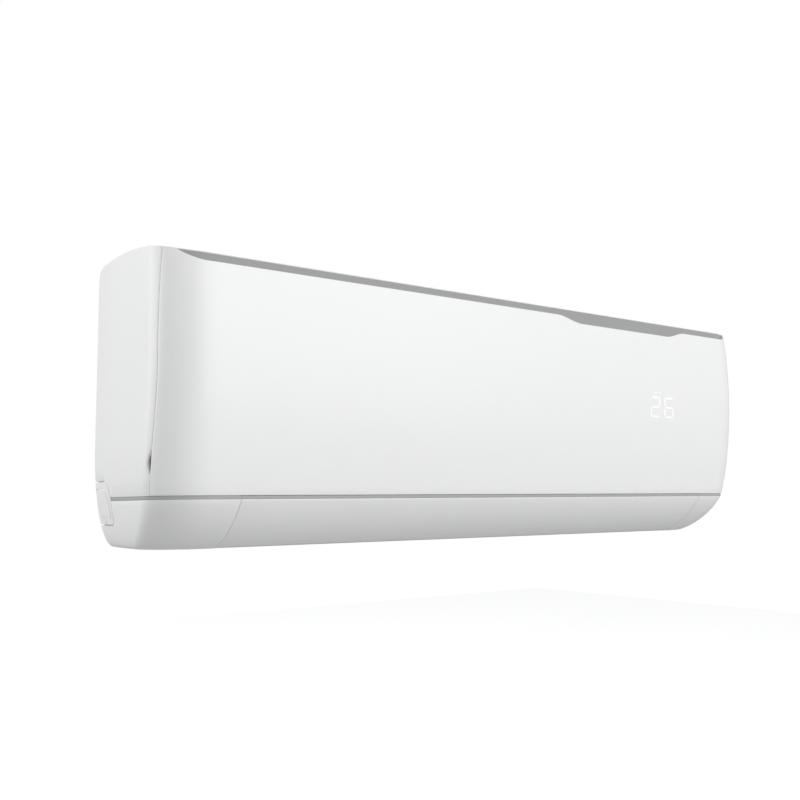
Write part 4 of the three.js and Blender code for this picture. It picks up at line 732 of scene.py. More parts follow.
    def _add_net(self, tree: bpy.types.NodeTree, shader: bpy.types.Node,
                 finish: Finish) -> object:
        """Opens a sheet between its threads."""
        net = tree.nodes.new("ShaderNodeGroup")
        net.node_tree = self.net_group
        net.inputs["Pitch"].default_value = finish.grain_size
        net.inputs["Thread"].default_value = self.THREAD_SHARE
        tree.links.new(net.outputs["Mask"], shader.inputs["Alpha"])
        return net.outputs["Height"]

    def dress(self, piece: Piece, finish: Finish) -> None:
        """Gives a piece one finish all over."""
        material = self.material(finish)
        if piece.data.materials:
            for index in range(len(piece.data.materials)):
                piece.data.materials[index] = material
        else:
            piece.data.materials.append(material)


@dataclass
class SubAssembly:
    """What every group of pieces shares."""

    finisher: Finisher

    def keep(self, piece: Piece, body: str, finish: Finish, slot: str, *nodes: str) -> None:
        """Dresses a finished piece, sets it on its body and hides the nodes that it stands for.

        Args:
            piece: the finished piece.
            body: the CAD body that it moves with.
            finish: its surface.
            slot: the record's material slot; not used.
            nodes: CAD nodes that it stands for.
        """
        settle(piece)
        self.finisher.dress(piece, finish)
        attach(piece, body)
        if nodes:
            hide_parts(*nodes)
        LOG.info("%s: %d faces on %s", piece.name, len(piece.data.polygons), body)


# ------------------------------------------------------------------ front


@dataclass
class FrontPanel(SubAssembly):
    """The bowed panel that wraps round both front corners, with its hinge arms and ribs."""

    low: float = 49.95
    top: float = 260.0
    dip: float = 7.4
    dip_edges: tuple[float, float, float, float] = (66.6, 101.0, 264.3, 295.3)
    dip_easing: float = 0.5
    rise_x: float = 374.0
    rise_radius: float = 45.0
    rise_end: float = 322.0
    rise_slope: float = 0.6
    wall: float = 2.5
    rib: float = 1.6
    rib_sink: float = 0.1
    rib_inset: float = 10.0
    rib_heights: Flat = (104.0, 222.0)
    rib_places: tuple[float, ...] = (-320.0, -160.0, 0.0, 160.0, 320.0)
    arm_x: float = 407.4
    arm_wall: float = 2.4
    arm_front: float = 167.4
    pin_radius: float = 2.0
    pin_inset: float = 7.0
    pin_length: float = 8.0
    rows: int = 40
    corner_steps: int = 16
    shoulder: Point = (354.0, 338.0, 318.0)
    slope_clear: float = 2.0
    wall_edge: float = 0.45
    small_edge: float = 0.3

    def edge_height(self, x: float) -> float:
        """Height of the panel's top edge, seen square from the front."""
        left, floor_left, floor_right, right = self.dip_edges
        if left < x < right:
            fall = min((x - left) / (floor_left - left), (right - x) / (right - floor_right), 1.0)
            return self.top - self.dip * self._eased(fall)
        reach = abs(x) - self.rise_x
        if reach <= 0:
            return self.top
        limit = self.rise_radius * math.cos(math.radians(self.rise_end))
        rise = self.rise_radius - math.sqrt(self.rise_radius**2 - min(reach, limit) ** 2)
        return self.top + rise + max(reach - limit, 0.0) * self.rise_slope

    def _eased(self, share: float) -> float:
        """Softens the two bends of the dip's slopes a little."""
        return share + self.dip_easing * (share * share * (3 - 2 * share) - share)

    def column_top(self, column: Column) -> float:
        """Height at which a column of the panel ends."""
        return meet_top(column, self.top,
                        lambda x, d: min(self.edge_height(x), FORM.top_height(d)))

    def columns(self) -> list[Column]:
        """The panel's columns from right to left, closest over the dip's two slopes."""
        left, floor_left, floor_right, right = self.dip_edges
        past = self.slope_clear
        xs = [*self.shoulder, *blend_range(right + past, floor_right - past, 9),
              *blend_range(256.0, 110.0, 12), *blend_range(floor_left + past, left - past, 9),
              *blend_range(58.0, -350.0, 26)]
        return around_front(lambda z: FORM.corner_angle(FORM.seam_depth(z), z), 0.0,
                            self.corner_steps, xs)

    def build(self) -> None:
        """Builds the shell, its ribs and its arms."""
        columns = self.columns()
        tops = [self.column_top(column) for column in columns]

        def place(column: int, row: int) -> Point:
            z = self.low + (tops[column] - self.low) * toward_end(row / self.rows)
            return (*columns[column](z), z)

        shell = draw_wall("front_panel_shell", len(columns) - 1, self.rows, place, self.wall,
                          self.wall_edge, 3)
        self.keep(shell, "panel", SHELL, "front_panel", "front_panel")
        self.keep(self.ribs(), "panel", SHELL, "front_panel")
        for sign, side in ((1, "right"), (-1, "left")):
            self.keep(self.arm(sign, f"panel_arm_{side}"), "panel", SHELL, "front_panel")

    def ribs(self) -> Piece:
        """The ribs that stiffen the panel's back."""
        reach = FORM.length / 2 - FORM.corner_x - self.rib_inset
        low, high = self.rib_heights
        made = [self._rib(-reach, reach, z, z + self.rib, 8, 1) for z in (low, high)]
        made += [self._rib(x, x + self.rib, low + 1.0, high + 0.5, 1, 14) for x in self.rib_places]
        return join_pieces(made, "front_panel_ribs")

    def _rib(self, x0: float, x1: float, z0: float, z1: float, across: int, up: int) -> Piece:
        """One rib between two places and two heights."""

        def place(column: int, row: int) -> Point:
            z = z0 + (z1 - z0) * row / up
            depth = FORM.front_depth(z) - self.wall + self.rib_sink
            return (x0 + (x1 - x0) * column / across, depth, z)

        return draw_wall("rib", across, up, place, self.rib, self.small_edge)

    def arm(self, sign: int, name: str) -> Piece:
        """The arm inside a wing that reaches back to the hinge, with its pin."""
        d, z = FORM.hinge_d, FORM.hinge_z
        tongue = [*arc(d, z, self.pin_radius, 90, 270, 12), (d + 4, z - 10.5),
                  (self.arm_front, z - 12.0), (self.arm_front, z - 1.5), (d + 4, z + 2)]
        plate = draw_prism("plate", tongue, sign * self.arm_x, sign * self.arm_wall)
        round_edges(plate, self.small_edge)
        pin = draw_pin((d, z), self.pin_radius, sign * (self.arm_x - self.pin_inset),
                       sign * self.pin_length, self.small_edge)
        return join_pieces([plate, pin], name)


@dataclass
class TrimRing(SubAssembly):
    """The silver strip between panel and chin, and the silver band along the front's top edge."""

    strip_start: float = 50.5
    strip_low: float = 46.5
    strip_top: float = 49.4
    strip_wall: float = 1.0
    strip_crown: tuple[float, ...] = (0.45, 0.1, 0.0, -0.05, 0.0, 0.1, 0.45)
    strip_shares: tuple[float, ...] = (0.0, 0.06, 0.2, 0.5, 0.8, 0.94, 1.0)
    core: Flat = (367.0, 130.0)
    band_low: float = 250.0
    band_sink: float = 0.6
    band_wall: float = 1.2
    band_inset: float = 3.2
    band_reach: float = 406.9
    band_roll: float = 1.6
    band_rows: int = 6
    band_pull: float = 400.0

    def build(self) -> None:
        """Builds both trims."""
        self.keep(self.strip(), "base", STRIP, "accent_strip", "accent_strip")
        self.keep(self.band(), "base", SILVER, "top_band", "top_band")

    def strip(self) -> Piece:
        """The strip from one knock-out cover round the front to the other."""
        corners = around_front(lambda z: 0.0, 0.0, 14, blend_range(350.0, -350.0, 40))
        depths = blend_range(self.strip_start, FORM.front_depth(48.0) - FORM.corner_d - 4.0, 12)
        columns = [side_column(d) for d in depths] + corners
        columns += [side_column(d, -1) for d in reversed(depths)]
        core_x, core_d = self.core

        def place(column: int, row: int) -> Point:
            z = self.strip_low + (self.strip_top - self.strip_low) * self.strip_shares[row]
            x, d = columns[column](z)
            middle = Vector((math.copysign(min(abs(x), core_x), x), min(d, core_d)))
            inward = (Vector((x, d)) - middle).normalized() * self.strip_crown[row]
            return x - inward.x, d - inward.y, z

        return draw_wall("accent_strip_bar", len(columns) - 1, len(self.strip_crown) - 1, place,
                         self.strip_wall, 0.0)

    def band(self) -> Piece:
        """The band behind the panel's top edge, rolled over at the top."""
        start = math.degrees(math.acos((self.band_reach - FORM.length / 2 + FORM.corner_x)
                                       / (FORM.corner_x - self.band_inset)))
        columns = around_front(lambda z: start, self.band_inset, 12,
                               blend_range(352.0, -352.0, 48))

        def place(column: int, row: int) -> Point:
            z = FORM.top_height(columns[column](268.0)[1]) - self.band_sink
            if row <= self.band_rows:
                rise = z - self.band_roll - self.band_low
                level = self.band_low + rise * row / self.band_rows
                return (*columns[column](level), level)
            turn = math.radians(90.0 * (row - self.band_rows) / self.band_rows)
            level = z - self.band_roll * (1 - math.sin(turn))
            x, d = columns[column](level)
            pull = self.band_roll * (1 - math.cos(turn))
            return x * (1 - pull / self.band_pull), d - pull, level

        return draw_wall("top_band_strip", len(columns) - 1, 2 * self.band_rows, place,
                         self.band_wall, 0.2)


@dataclass
class OutletLouver(SubAssembly):
    """The louver that closes the outlet and forms the middle of the chin."""

    half: float = 334.7
    wall: float = 3.0
    low: float = 0.8
    high: float = 46.1
    heel: float = 114.5
    hinge_d: float = 122.0
    hinge_z: float = 18.0
    cheek_wall: float = 4.0
    pin_radius: float = 2.7
    pin_length: float = 9.0
    rows: int = 22
    columns: int = 24
    row_power: float = 1.25
    spine_z: float = 25.4
    spine_step: float = 3.6
    spine_wall: float = 1.6

    def build(self) -> None:
        """Builds the blade, its spine, its cheeks and its pins."""
        rise = self.high - self.low
        heights = [self.low + rise * (row / self.rows) ** self.row_power
                   for row in range(self.rows + 1)]

        def place(column: int, row: int) -> Point:
            x = self.half * (1 - 2 * column / self.columns)
            return x, max(FORM.front_depth(heights[row]), self.heel), heights[row]

        blade = draw_wall("louver_blade", self.columns, self.rows, place, self.wall, 0.5, 3)
        self.keep(blade, "louver", SHELL, "outlet_louver", "outlet_louver")
        self.keep(self.spine(), "louver", SHELL, "outlet_louver")
        for sign, side in ((1, "right"), (-1, "left")):
            self.keep(self.cheek(sign, f"louver_cheek_{side}"), "louver", SHELL, "outlet_louver")

    def spine(self) -> Piece:
        """The rib along the blade's inner side."""
        reach = self.half - self.cheek_wall
        front = FORM.front_depth(24.8) - 2.8

        def place(column: int, row: int) -> Point:
            return reach * (1 - 2 * column / 8), front - self.spine_step * row, self.spine_z

        below = to_frame(0.0, 150.0, -400.0)
        return draw_wall("louver_spine", 8, 1, place, self.spine_wall, 0.3, within=below)

    def cheek(self, sign: int, name: str) -> Piece:
        """One end plate with its pivot pin."""
        d, z = self.hinge_d, self.hinge_z
        outline = [*arc(d, z, 6.0, 150, 300, 14), (d + 1, z - 10), (d + 18, z - 4.0),
                   (d + 26, z + 2), (d + 36, z + 16), (d + 30, z + 18), (d + 12, z + 8)]
        inside = [(a, max(b, self._chin_height(a) + 1.0)) for a, b in outline]
        x = sign * (self.half - self.cheek_wall)
        plate = draw_prism("plate", inside, x, sign * self.cheek_wall)
        round_edges(plate, 0.4)
        pin = draw_pin((d, z), self.pin_radius, x + sign * 1.0, sign * self.pin_length, 0.35)
        return join_pieces([plate, pin], name)

    @staticmethod
    def _chin_height(d: float) -> float:
        """Height of the chin's outer surface at a depth."""
        centre = FORM.chin_centre()
        if d <= FORM.chin_foot:
            return 0.0
        return centre.y - math.sqrt(max(FORM.chin_bow**2 - (d - centre.x) ** 2, 0.0))


# ------------------------------------------------------------------ ends


@dataclass
class EndCovers(SubAssembly):
    """Both end covers, each with its end of the chin, its knock-out cover and its finger notch."""

    inner_x: float = 335.2
    top_x: float = 395.2
    wall: float = 2.5
    strip_start: float = 50.2
    groove: tuple[float, float] = (46.2, 49.8)
    notch: tuple[float, float, float] = (68.0, 91.0, 5.0)
    knockout: tuple[float, float, float] = (22.0, 66.0, 50.0)
    bends: tuple[float, float] = (7.0, 21.0)
    arm_slot: Point = (406.7, 153.5, 253.5)
    arm_slot_wide: float = 3.8
    gap: float = 0.3
    shrink: float = 1.2
    notch_cut: Flat = (380.0, 60.0)
    knockout_cut: Flat = (360.0, 80.0)
    relief_inset: float = 8.0
    relief_radius: float = 0.9
    relief_bar: tuple[Flat, ...] = ((14.0, 9.0), (24.0, 9.0), (24.0, 2.0))
    lintel_inset: float = 1.6
    lintel_wall: float = 2.6
    lintel_heights: Flat = (43.5, 52.0)
    ledge_inset: float = 2.8
    ledge_wall: float = 1.9
    ledge_heights: Flat = (50.5, 250.0)
    ledge_start: float = 138.0
    ledge_deep: float = 38.0
    ledge_steps: int = 12
    ledge_behind: float = 3.2
    notch_clear: float = 3.0
    bead_inset: float = 2.7
    bead_wall: float = 1.8
    chin_rows: int = 14
    chin_power: float = 1.7
    upper_rows: int = 28

    def build(self) -> None:
        """Builds the two covers and what is let into them."""
        for sign, side in ((1, "right"), (-1, "left")):
            node = f"end_cover_{side}"
            shell = self.shell(sign)
            self.keep(shell, "base", COVER, node, node)
            self.keep(self.lining(sign, f"end_lining_{side}"), "base", COVER, node)
            plug = self.knockout_piece(sign, f"knockout_{side}")
            self.keep(plug, "base", COVER, f"knockout_cover_{side}", f"knockout_cover_{side}")

    def seam(self, z: float) -> float:
        """Depth at which the cover ends, short of the panel."""
        return FORM.seam_depth(z) - self.gap

    def side_columns(self) -> list[Column]:
        """Columns of the flat end wall, from the wall to where the corner starts."""
        def shared(share: float) -> Column:
            def at(z: float) -> Flat:
                end = FORM.front_depth(z) - FORM.corner_d
                d = self.strip_start + (end - self.strip_start) * share
                return FORM.side_x(d, z), d

            return at

        rear = (0.0, 1.5, 3.5, 6.0, 9.0, 12.0, 20.0, 30.0, 40.0)
        return [side_column(d) for d in rear] + [shared(share) for share in blend_range(0, 1, 9)]

    def corner_columns(self, end: Callable[[float], float], start: float,
                       steps: int) -> list[Column]:
        """Columns of the corner from one angle to another, the first left out."""

        def at(share: float) -> Column:
            return lambda z: FORM.corner(start + (end(z) - start) * share, z)

        return [at(step / steps) for step in range(1, steps + 1)]

    def shell(self, sign: int) -> Piece:
        """The cover's outer wall, top and underside as one shell."""
        meet = FORM.corner_angle(self.seam(self.groove[0]), self.groove[0])
        sides = self.side_columns()
        short = sides + self.corner_columns(lambda z: FORM.corner_angle(self.seam(z), z), 0.0, 8)
        rest = self.corner_columns(lambda z: 90.0, meet, 8)
        fronts = [self._front_column(share) for share in (0.33, 0.66, 1.0)]
        long = sides + self.corner_columns(lambda z: meet, 0.0, 8) + rest + fronts
        lower_heights = [self.groove[0] * (row / self.chin_rows) ** self.chin_power
                         for row in range(self.chin_rows + 1)]

        def lower(column: int, row: int) -> Point:
            x, d = long[column](lower_heights[row])
            return sign * x, d, lower_heights[row]

        tops = [self._top_of(column) for column in short]

        def upper(column: int, row: int) -> Point:
            if row < 2:
                z = self.groove[row]
            else:
                share = toward_end((row - 1) / (self.upper_rows - 1))
                z = self.groove[1] + (tops[column] - self.groove[1]) * share
            x, d = short[column](z)
            return sign * x, d, z

        def roof(column: int, row: int) -> Point:
            x, d = short[column](tops[column])
            return sign * (x + (self.top_x - x) * row / 3), d, tops[column]

        count = len(long) - 1
        first = len(sides) - 1
        base = [column(0.0) for column in long]

        foot = base[first][1]

        def under(column: int, row: int) -> Point:
            x, d = base[column]
            share = max(column - first, 0) / (count - first)
            inner_d = d if column <= first else foot + (FORM.chin_foot - foot) * share
            return sign * (x + (self.inner_x - x) * row / 4), d + (inner_d - d) * row / 4, 0.0

        sheets = [draw_sheet("lower", count, self.chin_rows, lower),
                  draw_sheet("upper", len(short) - 1, self.upper_rows, upper),
                  draw_sheet("roof", len(short) - 1, 3, roof),
                  draw_sheet("under", count, 4, under)]
        for sheet in sheets:
            point_outward(sheet, HEART)
        shell = join_pieces(sheets, f"end_shell_{'right' if sign > 0 else 'left'}")
        merge_points(shell, 0.02)
        low, high = (to_frame(0, 0, z).z for z in self.groove)
        front = to_frame(0, self.strip_start, 0).y - 0.1 * MM
        delete_faces(shell, lambda centre: low < centre.z < high and centre.y < front)
        thicken(shell, self.wall, 0.0)
        carve(shell, self._notch_cutter(sign))
        carve(shell, self._knockout_cutter(sign))
        carve(shell, self._slot_cutter(sign))
        round_edges(shell, 0.3, 2)
        return shell

    def _front_column(self, share: float) -> Column:
        """A column between the corner and the louver."""

        def at(z: float) -> Flat:
            start = FORM.half(z) - FORM.corner_x
            return start + (self.inner_x - start) * share, FORM.front_depth(z)

        return at

    def _top_of(self, column: Column) -> float:
        """Height at which a column meets the top."""
        return meet_top(column, FORM.hinge_z, lambda x, d: FORM.top_height(d))

    def _notch_cutter(self, sign: int) -> Piece:
        """The crescent that a finger reaches into."""
        low, high, deep = self.notch
        reach = (high - low) / 2
        radius = (reach**2 + deep**2) / (2 * deep)
        half = math.degrees(math.asin(reach / radius))
        curve = arc(radius - deep, (low + high) / 2, radius, 180 - half, 180 + half, 20)
        outline = [(offset + FORM.seam_depth(z), z) for offset, z in curve]
        outline += [(FORM.seam_depth(low) + 4, low), (FORM.seam_depth(high) + 4, high)]
        start, run = self.notch_cut
        return draw_prism("cutter", outline, sign * start, sign * run)

    def _slot_cutter(self, sign: int) -> Piece:
        """The slot in the top that the panel's arm swings through."""
        x, d, z = self.arm_slot
        corners = ((d, z), (d + 20.0, z), (d + 20.0, z + 40.0), (d, z + 40.0))
        return draw_prism("cutter", corners, sign * x, sign * self.arm_slot_wide)

    def _arch(self, grow: float, start: float) -> list[Flat]:
        """The knock-out's outline, from its rear low point to its rear high one."""
        low, high, front = self.knockout
        below, above = self.bends
        reach = front + grow
        return [(start, low - grow), *arc(reach - below, low - grow + below, below, -90, 0, 12),
                *arc(reach - above, high + grow - above, above, 0, 90, 12), (start, high + grow)]

    def _knockout_cutter(self, sign: int) -> Piece:
        """The opening for the pipes."""
        start, run = self.knockout_cut
        return draw_prism("cutter", self._arch(0.0, -10.0), sign * start, sign * run)

    def knockout_piece(self, sign: int, name: str) -> Piece:
        """The piece that closes the opening, with the arch and bar moulded into it."""
        low, high, front = self.knockout
        below, above = self.bends
        rows, across = 30, 12
        bottom, rise = low + self.shrink, high - low - 2 * self.shrink

        def place(column: int, row: int) -> Point:
            z = bottom + rise * (0.5 - 0.5 * math.cos(math.pi * row / rows))
            if z < low + below:
                bend, reach = below, low + below - z
            else:
                bend, reach = above, max(z - high + above, 0.0)
            end = front - self.shrink - bend + math.sqrt(max(bend**2 - reach**2, 0.0))
            d = end * column / across
            return sign * FORM.side_x(d, z), d, z

        piece = draw_wall(name, across, rows, place, self.wall, 0.25)
        inner, crown, turn = front - self.relief_inset, high - self.relief_inset, above - 3.0
        arch = [(inner, low + 7), *arc(inner - turn, crown - turn, turn, 0, 90, 12), (2.0, crown)]
        bar = [(d, low + z) for d, z in self.relief_bar]
        for path in (arch, bar):
            points = [(sign * (FORM.side_x(d, z) + 0.1), d, z) for d, z in path]
            carve(piece, draw_tube("cutter", points, self.relief_radius, 2))
        smooth(piece)
        return piece

    def lining(self, sign: int, name: str) -> Piece:
        """The walls inside the cover: behind the strip, behind the seam and round the knock-out."""
        inset = self.lintel_inset

        def corner(angle: float) -> Column:
            return lambda z: FORM.corner(angle, z, inset)

        behind_strip = [side_column(d, inset=inset) for d in blend_range(46.0, 126.0, 6)]
        behind_strip += [corner(angle) for angle in blend_range(0.0, 90.0, 13)]
        behind_strip.append(lambda z: (self.inner_x, FORM.front_depth(z) - inset * FORM.lean(z)))
        heights = blend_range(*self.lintel_heights, 5)

        def lintel(column: int, row: int) -> Point:
            x, d = behind_strip[column](heights[row])
            return sign * x, d, heights[row]

        def ledge(levels: Sequence[float], column: int, row: int) -> Point:
            z = levels[row]
            d = self.ledge_start + self.ledge_deep * column / self.ledge_steps
            if d < FORM.front_depth(z) - FORM.corner_d:
                return sign * FORM.side_x(d, z, self.ledge_inset), d, z
            limit = min(d, FORM.front_depth(z) - self.ledge_behind)
            angle = FORM.corner_angle(limit, z, self.ledge_inset)
            return sign * FORM.corner(angle, z, self.ledge_inset)[0], limit, z

        low, high, _ = self.notch
        bottom, top = self.ledge_heights
        made = [draw_wall("lintel", len(behind_strip) - 1, 4, lintel, self.lintel_wall, 0.2)]
        for levels in (blend_range(bottom, low - self.notch_clear, 4),
                       blend_range(high + self.notch_clear, top, 20)):
            made.append(draw_wall("ledge", self.ledge_steps, len(levels) - 1,
                                  partial(ledge, levels), self.ledge_wall, 0.2))
        made.append(self._bead(sign))
        return join_pieces(made, name)

    def _bead(self, sign: int) -> Piece:
        """The lip round the knock-out's opening, inside the wall."""
        path = [Vector(point) for point in self._arch(-0.4, 1.0)]
        runs = [(b - a).normalized() for a, b in zip(path, path[1:])]
        runs.append(runs[-1])

        def place(column: int, row: int) -> Point:
            across = Vector((-runs[column].y, runs[column].x)) * (-1.6 + 1.8 * row)
            d, z = path[column] - across
            return sign * FORM.side_x(max(d, 0.5), z, self.bead_inset), max(d, 0.5), z

        return draw_wall("bead", len(path) - 1, 2, place, self.bead_wall, 0.0)


# ------------------------------------------------------------------ top


@dataclass
class IntakeGrille(SubAssembly):
    """The grille on top: a curved frame, long slats and cross ribs."""

    half: float = 394.7
    front: float = 157.2
    margin: float = 22.0
    first: float = 26.0
    last: float = 147.2
    low: float = 264.0
    wall: float = 2.5
    columns: int = 10
    slats: int = 15
    slat_inset: float = 7.5
    stout: float = 3.4
    thin: float = 1.6
    rib_gap: float = 4.0
    rib_high: float = 5.5
    rim: float = 8.0
    bay: float = 30.0

    def path(self) -> list[Flat]:
        """The grille's curve from its rear foot to its front edge."""
        bend = FORM.height - FORM.rear_round
        points = [(0.0, self.low), (0.0, 269.0), (0.0, bend)]
        points += reversed(arc(FORM.rear_round, bend, FORM.rear_round, 90, 165, 7))
        points.append((19.0, FORM.height))
        points += [(d, FORM.top_height(d)) for d in blend_range(self.first, self.last, 14)]
        return points + [(self.front, FORM.top_height(self.front))]

    def build(self) -> None:
        """Builds the frame, its slats and its ribs."""
        path = self.path()
        inner = self.half - self.margin
        xs = [self.half, self.half - self.rim, inner,
              *blend_range(inner - self.bay, -inner + self.bay, 12),
              -inner, -self.half + self.rim, -self.half]
        frame = draw_sheet("grille_frame", len(xs) - 1, len(path) - 1,
                           lambda i, j: (xs[i], *path[j]))
        point_outward(frame, HEART)
        low, high = -self.last * MM, -self.first * MM
        delete_faces(frame, lambda spot: abs(spot.x) < inner * MM and low < spot.y < high)
        thicken(frame, self.wall, 0.5, 2)
        self.keep(frame, "base", SHELL, "top_grille", "top_grille")
        self.keep(self.slat_row(inner), "base", SHELL, "top_grille")
        self.keep(self.rib_row(inner), "base", SHELL, "top_grille")

    def slat_row(self, inner: float) -> Piece:
        """The long slats, leaning forward as they go down."""
        made = []
        reach = inner + 1.0
        ends = self.first + self.slat_inset, self.last - self.slat_inset
        for d in blend_range(*ends, self.slats):
            z = FORM.top_height(d) - 0.3
            section = [(d - 0.5, z - 0.3), (d, z), (d + 0.6, z - 0.3), (d + 2.4, z - 7.0),
                       (d + 1.9, z - 7.3), (d + 1.3, z - 7.0)]
            made.append(draw_prism("slat", section, -reach, 2 * reach))
        slats = join_pieces(made, "grille_slats")
        smooth(slats, 50.0)
        return slats

    def rib_row(self, inner: float) -> Piece:
        """The cross ribs: stout ones as in the CAD, with thin ones between."""
        wide = (2 * inner - self.rib_gap * (self.columns - 1)) / self.columns
        step = (wide + self.rib_gap) / 2
        start = -inner - self.rib_gap / 2
        made = [self._rib(start + index * step, self.thin if index % 2 else self.stout)
                for index in range(1, 2 * self.columns)]
        return join_pieces(made, "grille_ribs")

    def _rib(self, x: float, thick: float) -> Piece:
        """One rib that follows the top's curve."""
        ds = blend_range(self.first - 0.5, self.last + 0.5, 12)

        def place(column: int, row: int) -> Point:
            d = ds[column]
            return x + thick / 2, d, FORM.top_height(d) - 0.15 - self.rib_high * row

        aside = to_frame(-900.0, 80.0, 270.0)
        return draw_wall("rib", len(ds) - 1, 1, place, thick, 0.25, 1, aside)


# ------------------------------------------------------------------ coil


@dataclass
class CoilFins(SubAssembly):
    """The stacks of thin fins of the three coil slabs, each round its own core."""

    half: float = 327.6
    thick: float = 22.0
    pitch: float = 2.4
    fin: float = 0.7
    inset: float = 0.15
    core_inset: float = 1.6
    slabs: dict[str, tuple[Flat, Flat]] = field(default_factory=lambda: {
        "front": ((152.0, 106.0), (152.0, 190.0)),
        "upper": ((143.0, 202.0), (120.0, 250.0)),
        "rear": ((98.0, 256.0), (46.0, 188.0)),
    })

    def build(self) -> None:
        """Builds each slab's fins and core."""
        for name, (start, end) in self.slabs.items():
            node = f"evaporator_{name}"
            fins = self.stack(f"fins_{name}", self.outline(start, end, self.inset))
            self.keep(fins, "base", FINS, node, node)
            core = draw_prism(f"fin_core_{name}", self.outline(start, end, self.core_inset),
                              -self.half, 2 * self.half)
            self.keep(core, "base", ZINC, node)

    def outline(self, start: Flat, end: Flat, inset: float) -> list[Flat]:
        """A slab's rectangle in side view, drawn in by an inset."""
        a, b = Vector(start), Vector(end)
        along = (b - a).normalized()
        across = Vector((-along.y, along.x)) * (self.thick / 2 - inset)
        a, b = a + along * inset, b - along * inset
        return [tuple(a + across), tuple(b + across), tuple(b - across), tuple(a - across)]

    def stack(self, name: str, outline: Sequence[Flat]) -> Piece:
        """One fin, repeated along the slab."""
        fin = draw_prism(name, outline, -self.half, self.fin)
        count = int((2 * self.half - self.fin) / self.pitch) + 1
        apply_modifier(fin, "ARRAY", count=count, use_relative_offset=False,
                       use_constant_offset=True,
                       constant_offset_displace=(self.pitch * MM, 0.0, 0.0))
        return fin


# ------------------------------------------------------------------ display


@dataclass
class DisplayFigures(SubAssembly):
    """Two seven-segment figures and small marks that shine through the panel."""

    low: float = 147.0
    high: float = 171.0
    width: float = 16.0
    stroke: float = 1.9
    lift: float = 0.05
    wall: float = 0.2
    corner_cut: float = 0.42
    tip: float = 0.16
    figures: tuple[tuple[str, str, float], ...] = (
        ("figure_tens", "abged", 223.0), ("figure_units", "afgedc", 249.5))
    marks: tuple[float, float] = (229.0, 237.0)
    mark_wide: float = 4.5
    mark_heights: Flat = (176.5, 177.9)

    def build(self) -> None:
        """Builds the figures and the marks."""
        for name, letters, x in self.figures:
            self.keep(self.digit(name, letters, x), "panel", FIGURE, "front_panel")
        marks = [self._bar(x, x + self.mark_wide, *self.mark_heights) for x in self.marks]
        self.keep(join_pieces(marks, "display_marks"), "panel", FIGURE, "front_panel")

    def digit(self, name: str, letters: str, x: float) -> Piece:
        """One figure out of its lit segments, which are lettered as usual."""
        half, middle = self.stroke / 2, (self.low + self.high) / 2
        right = x + self.width
        flat = {"a": self.high, "g": middle, "d": self.low}
        tall = {"f": (x, middle, self.high), "b": (right, middle, self.high),
                "e": (x, self.low, middle), "c": (right, self.low, middle)}
        made = []
        for letter in letters:
            if letter in flat:
                z = flat[letter]
                made.append(self._bar(x + half, right - half, z - half, z + half))
            else:
                across, start, end = tall[letter]
                made.append(self._bar(across - half, across + half, start + half, end - half))
        return join_pieces(made, name)

    def _bar(self, x0: float, x1: float, z0: float, z1: float) -> Piece:
        """A thin raised stroke with cut corners that follows the panel's bow."""
        cut = min(x1 - x0, z1 - z0) * self.corner_cut
        wide = x1 - x0 > z1 - z0
        xs = [x0, x0 + cut, x1 - cut, x1]
        zs = [z0, z0 + cut, z1 - cut, z1]

        def drawn_in(start: float, end: float, step: int) -> float:
            return start + (end - start) * (0.5 + (step / 3 - 0.5) * self.tip)

        def place(column: int, row: int) -> Point:
            x, z = xs[column], zs[row]
            if wide and column in (0, 3):
                z = drawn_in(z0, z1, row)
            if not wide and row in (0, 3):
                x = drawn_in(x0, x1, column)
            return x, FORM.front_depth(z) + self.lift, z

        return draw_wall("bar", 3, 3, place, self.wall, 0.0)


# ------------------------------------------------------------------ carried-over nodes


NODE_LOOKS: tuple[tuple[Finish, tuple[str, ...]], ...] = (
    (INNER, ("rear_chassis", "front_frame", "drain_pan", "drain_spigot", "pipe_clamp",
             "motor_bracket", "bearing_holder", "louver_bush", "control_box",
             "emergency_button", "vane")),
    (ZINC, ("mounting_plate", "tube_sheet")),
    (STEEL, ("louver_motor", "fan_motor", "motor_shaft", "stub_shaft")),
    (DARK, ("cross_flow_fan", "terminal_block", "display_housing", "link_bar")),
    (RUBBER, ("drain_plug", "bearing_bush")),
    (FINS, ("evaporator",)),
    (COPPER, ("gas_pipe", "liquid_pipe")),
    (BRASS, ("gas_flare_nut", "liquid_flare_nut")),
    (BOARD, ("circuit_board", "display_board", "button_board")),
    (NET, ("air_filter",)),
)


def dress_nodes(finisher: Finisher, nodes: dict[str, Piece]) -> None:
    """Gives every CAD node the finish of the longest name that it starts with."""
    looks = {key: finish for finish, keys in NODE_LOOKS for key in keys}
    for name, node in nodes.items():
        found = [key for key in looks if name.startswith(key)]
        finisher.dress(node, looks[max(found, key=len)] if found else COVER)
    LOG.info("dressed %d CAD nodes", len(nodes))


# ------------------------------------------------------------------ studio


@dataclass(frozen=True)
class Lamp:
    """A square soft lamp that faces the unit, in metres and watts."""

    name: str
    place: Point
    size: float
    power: float


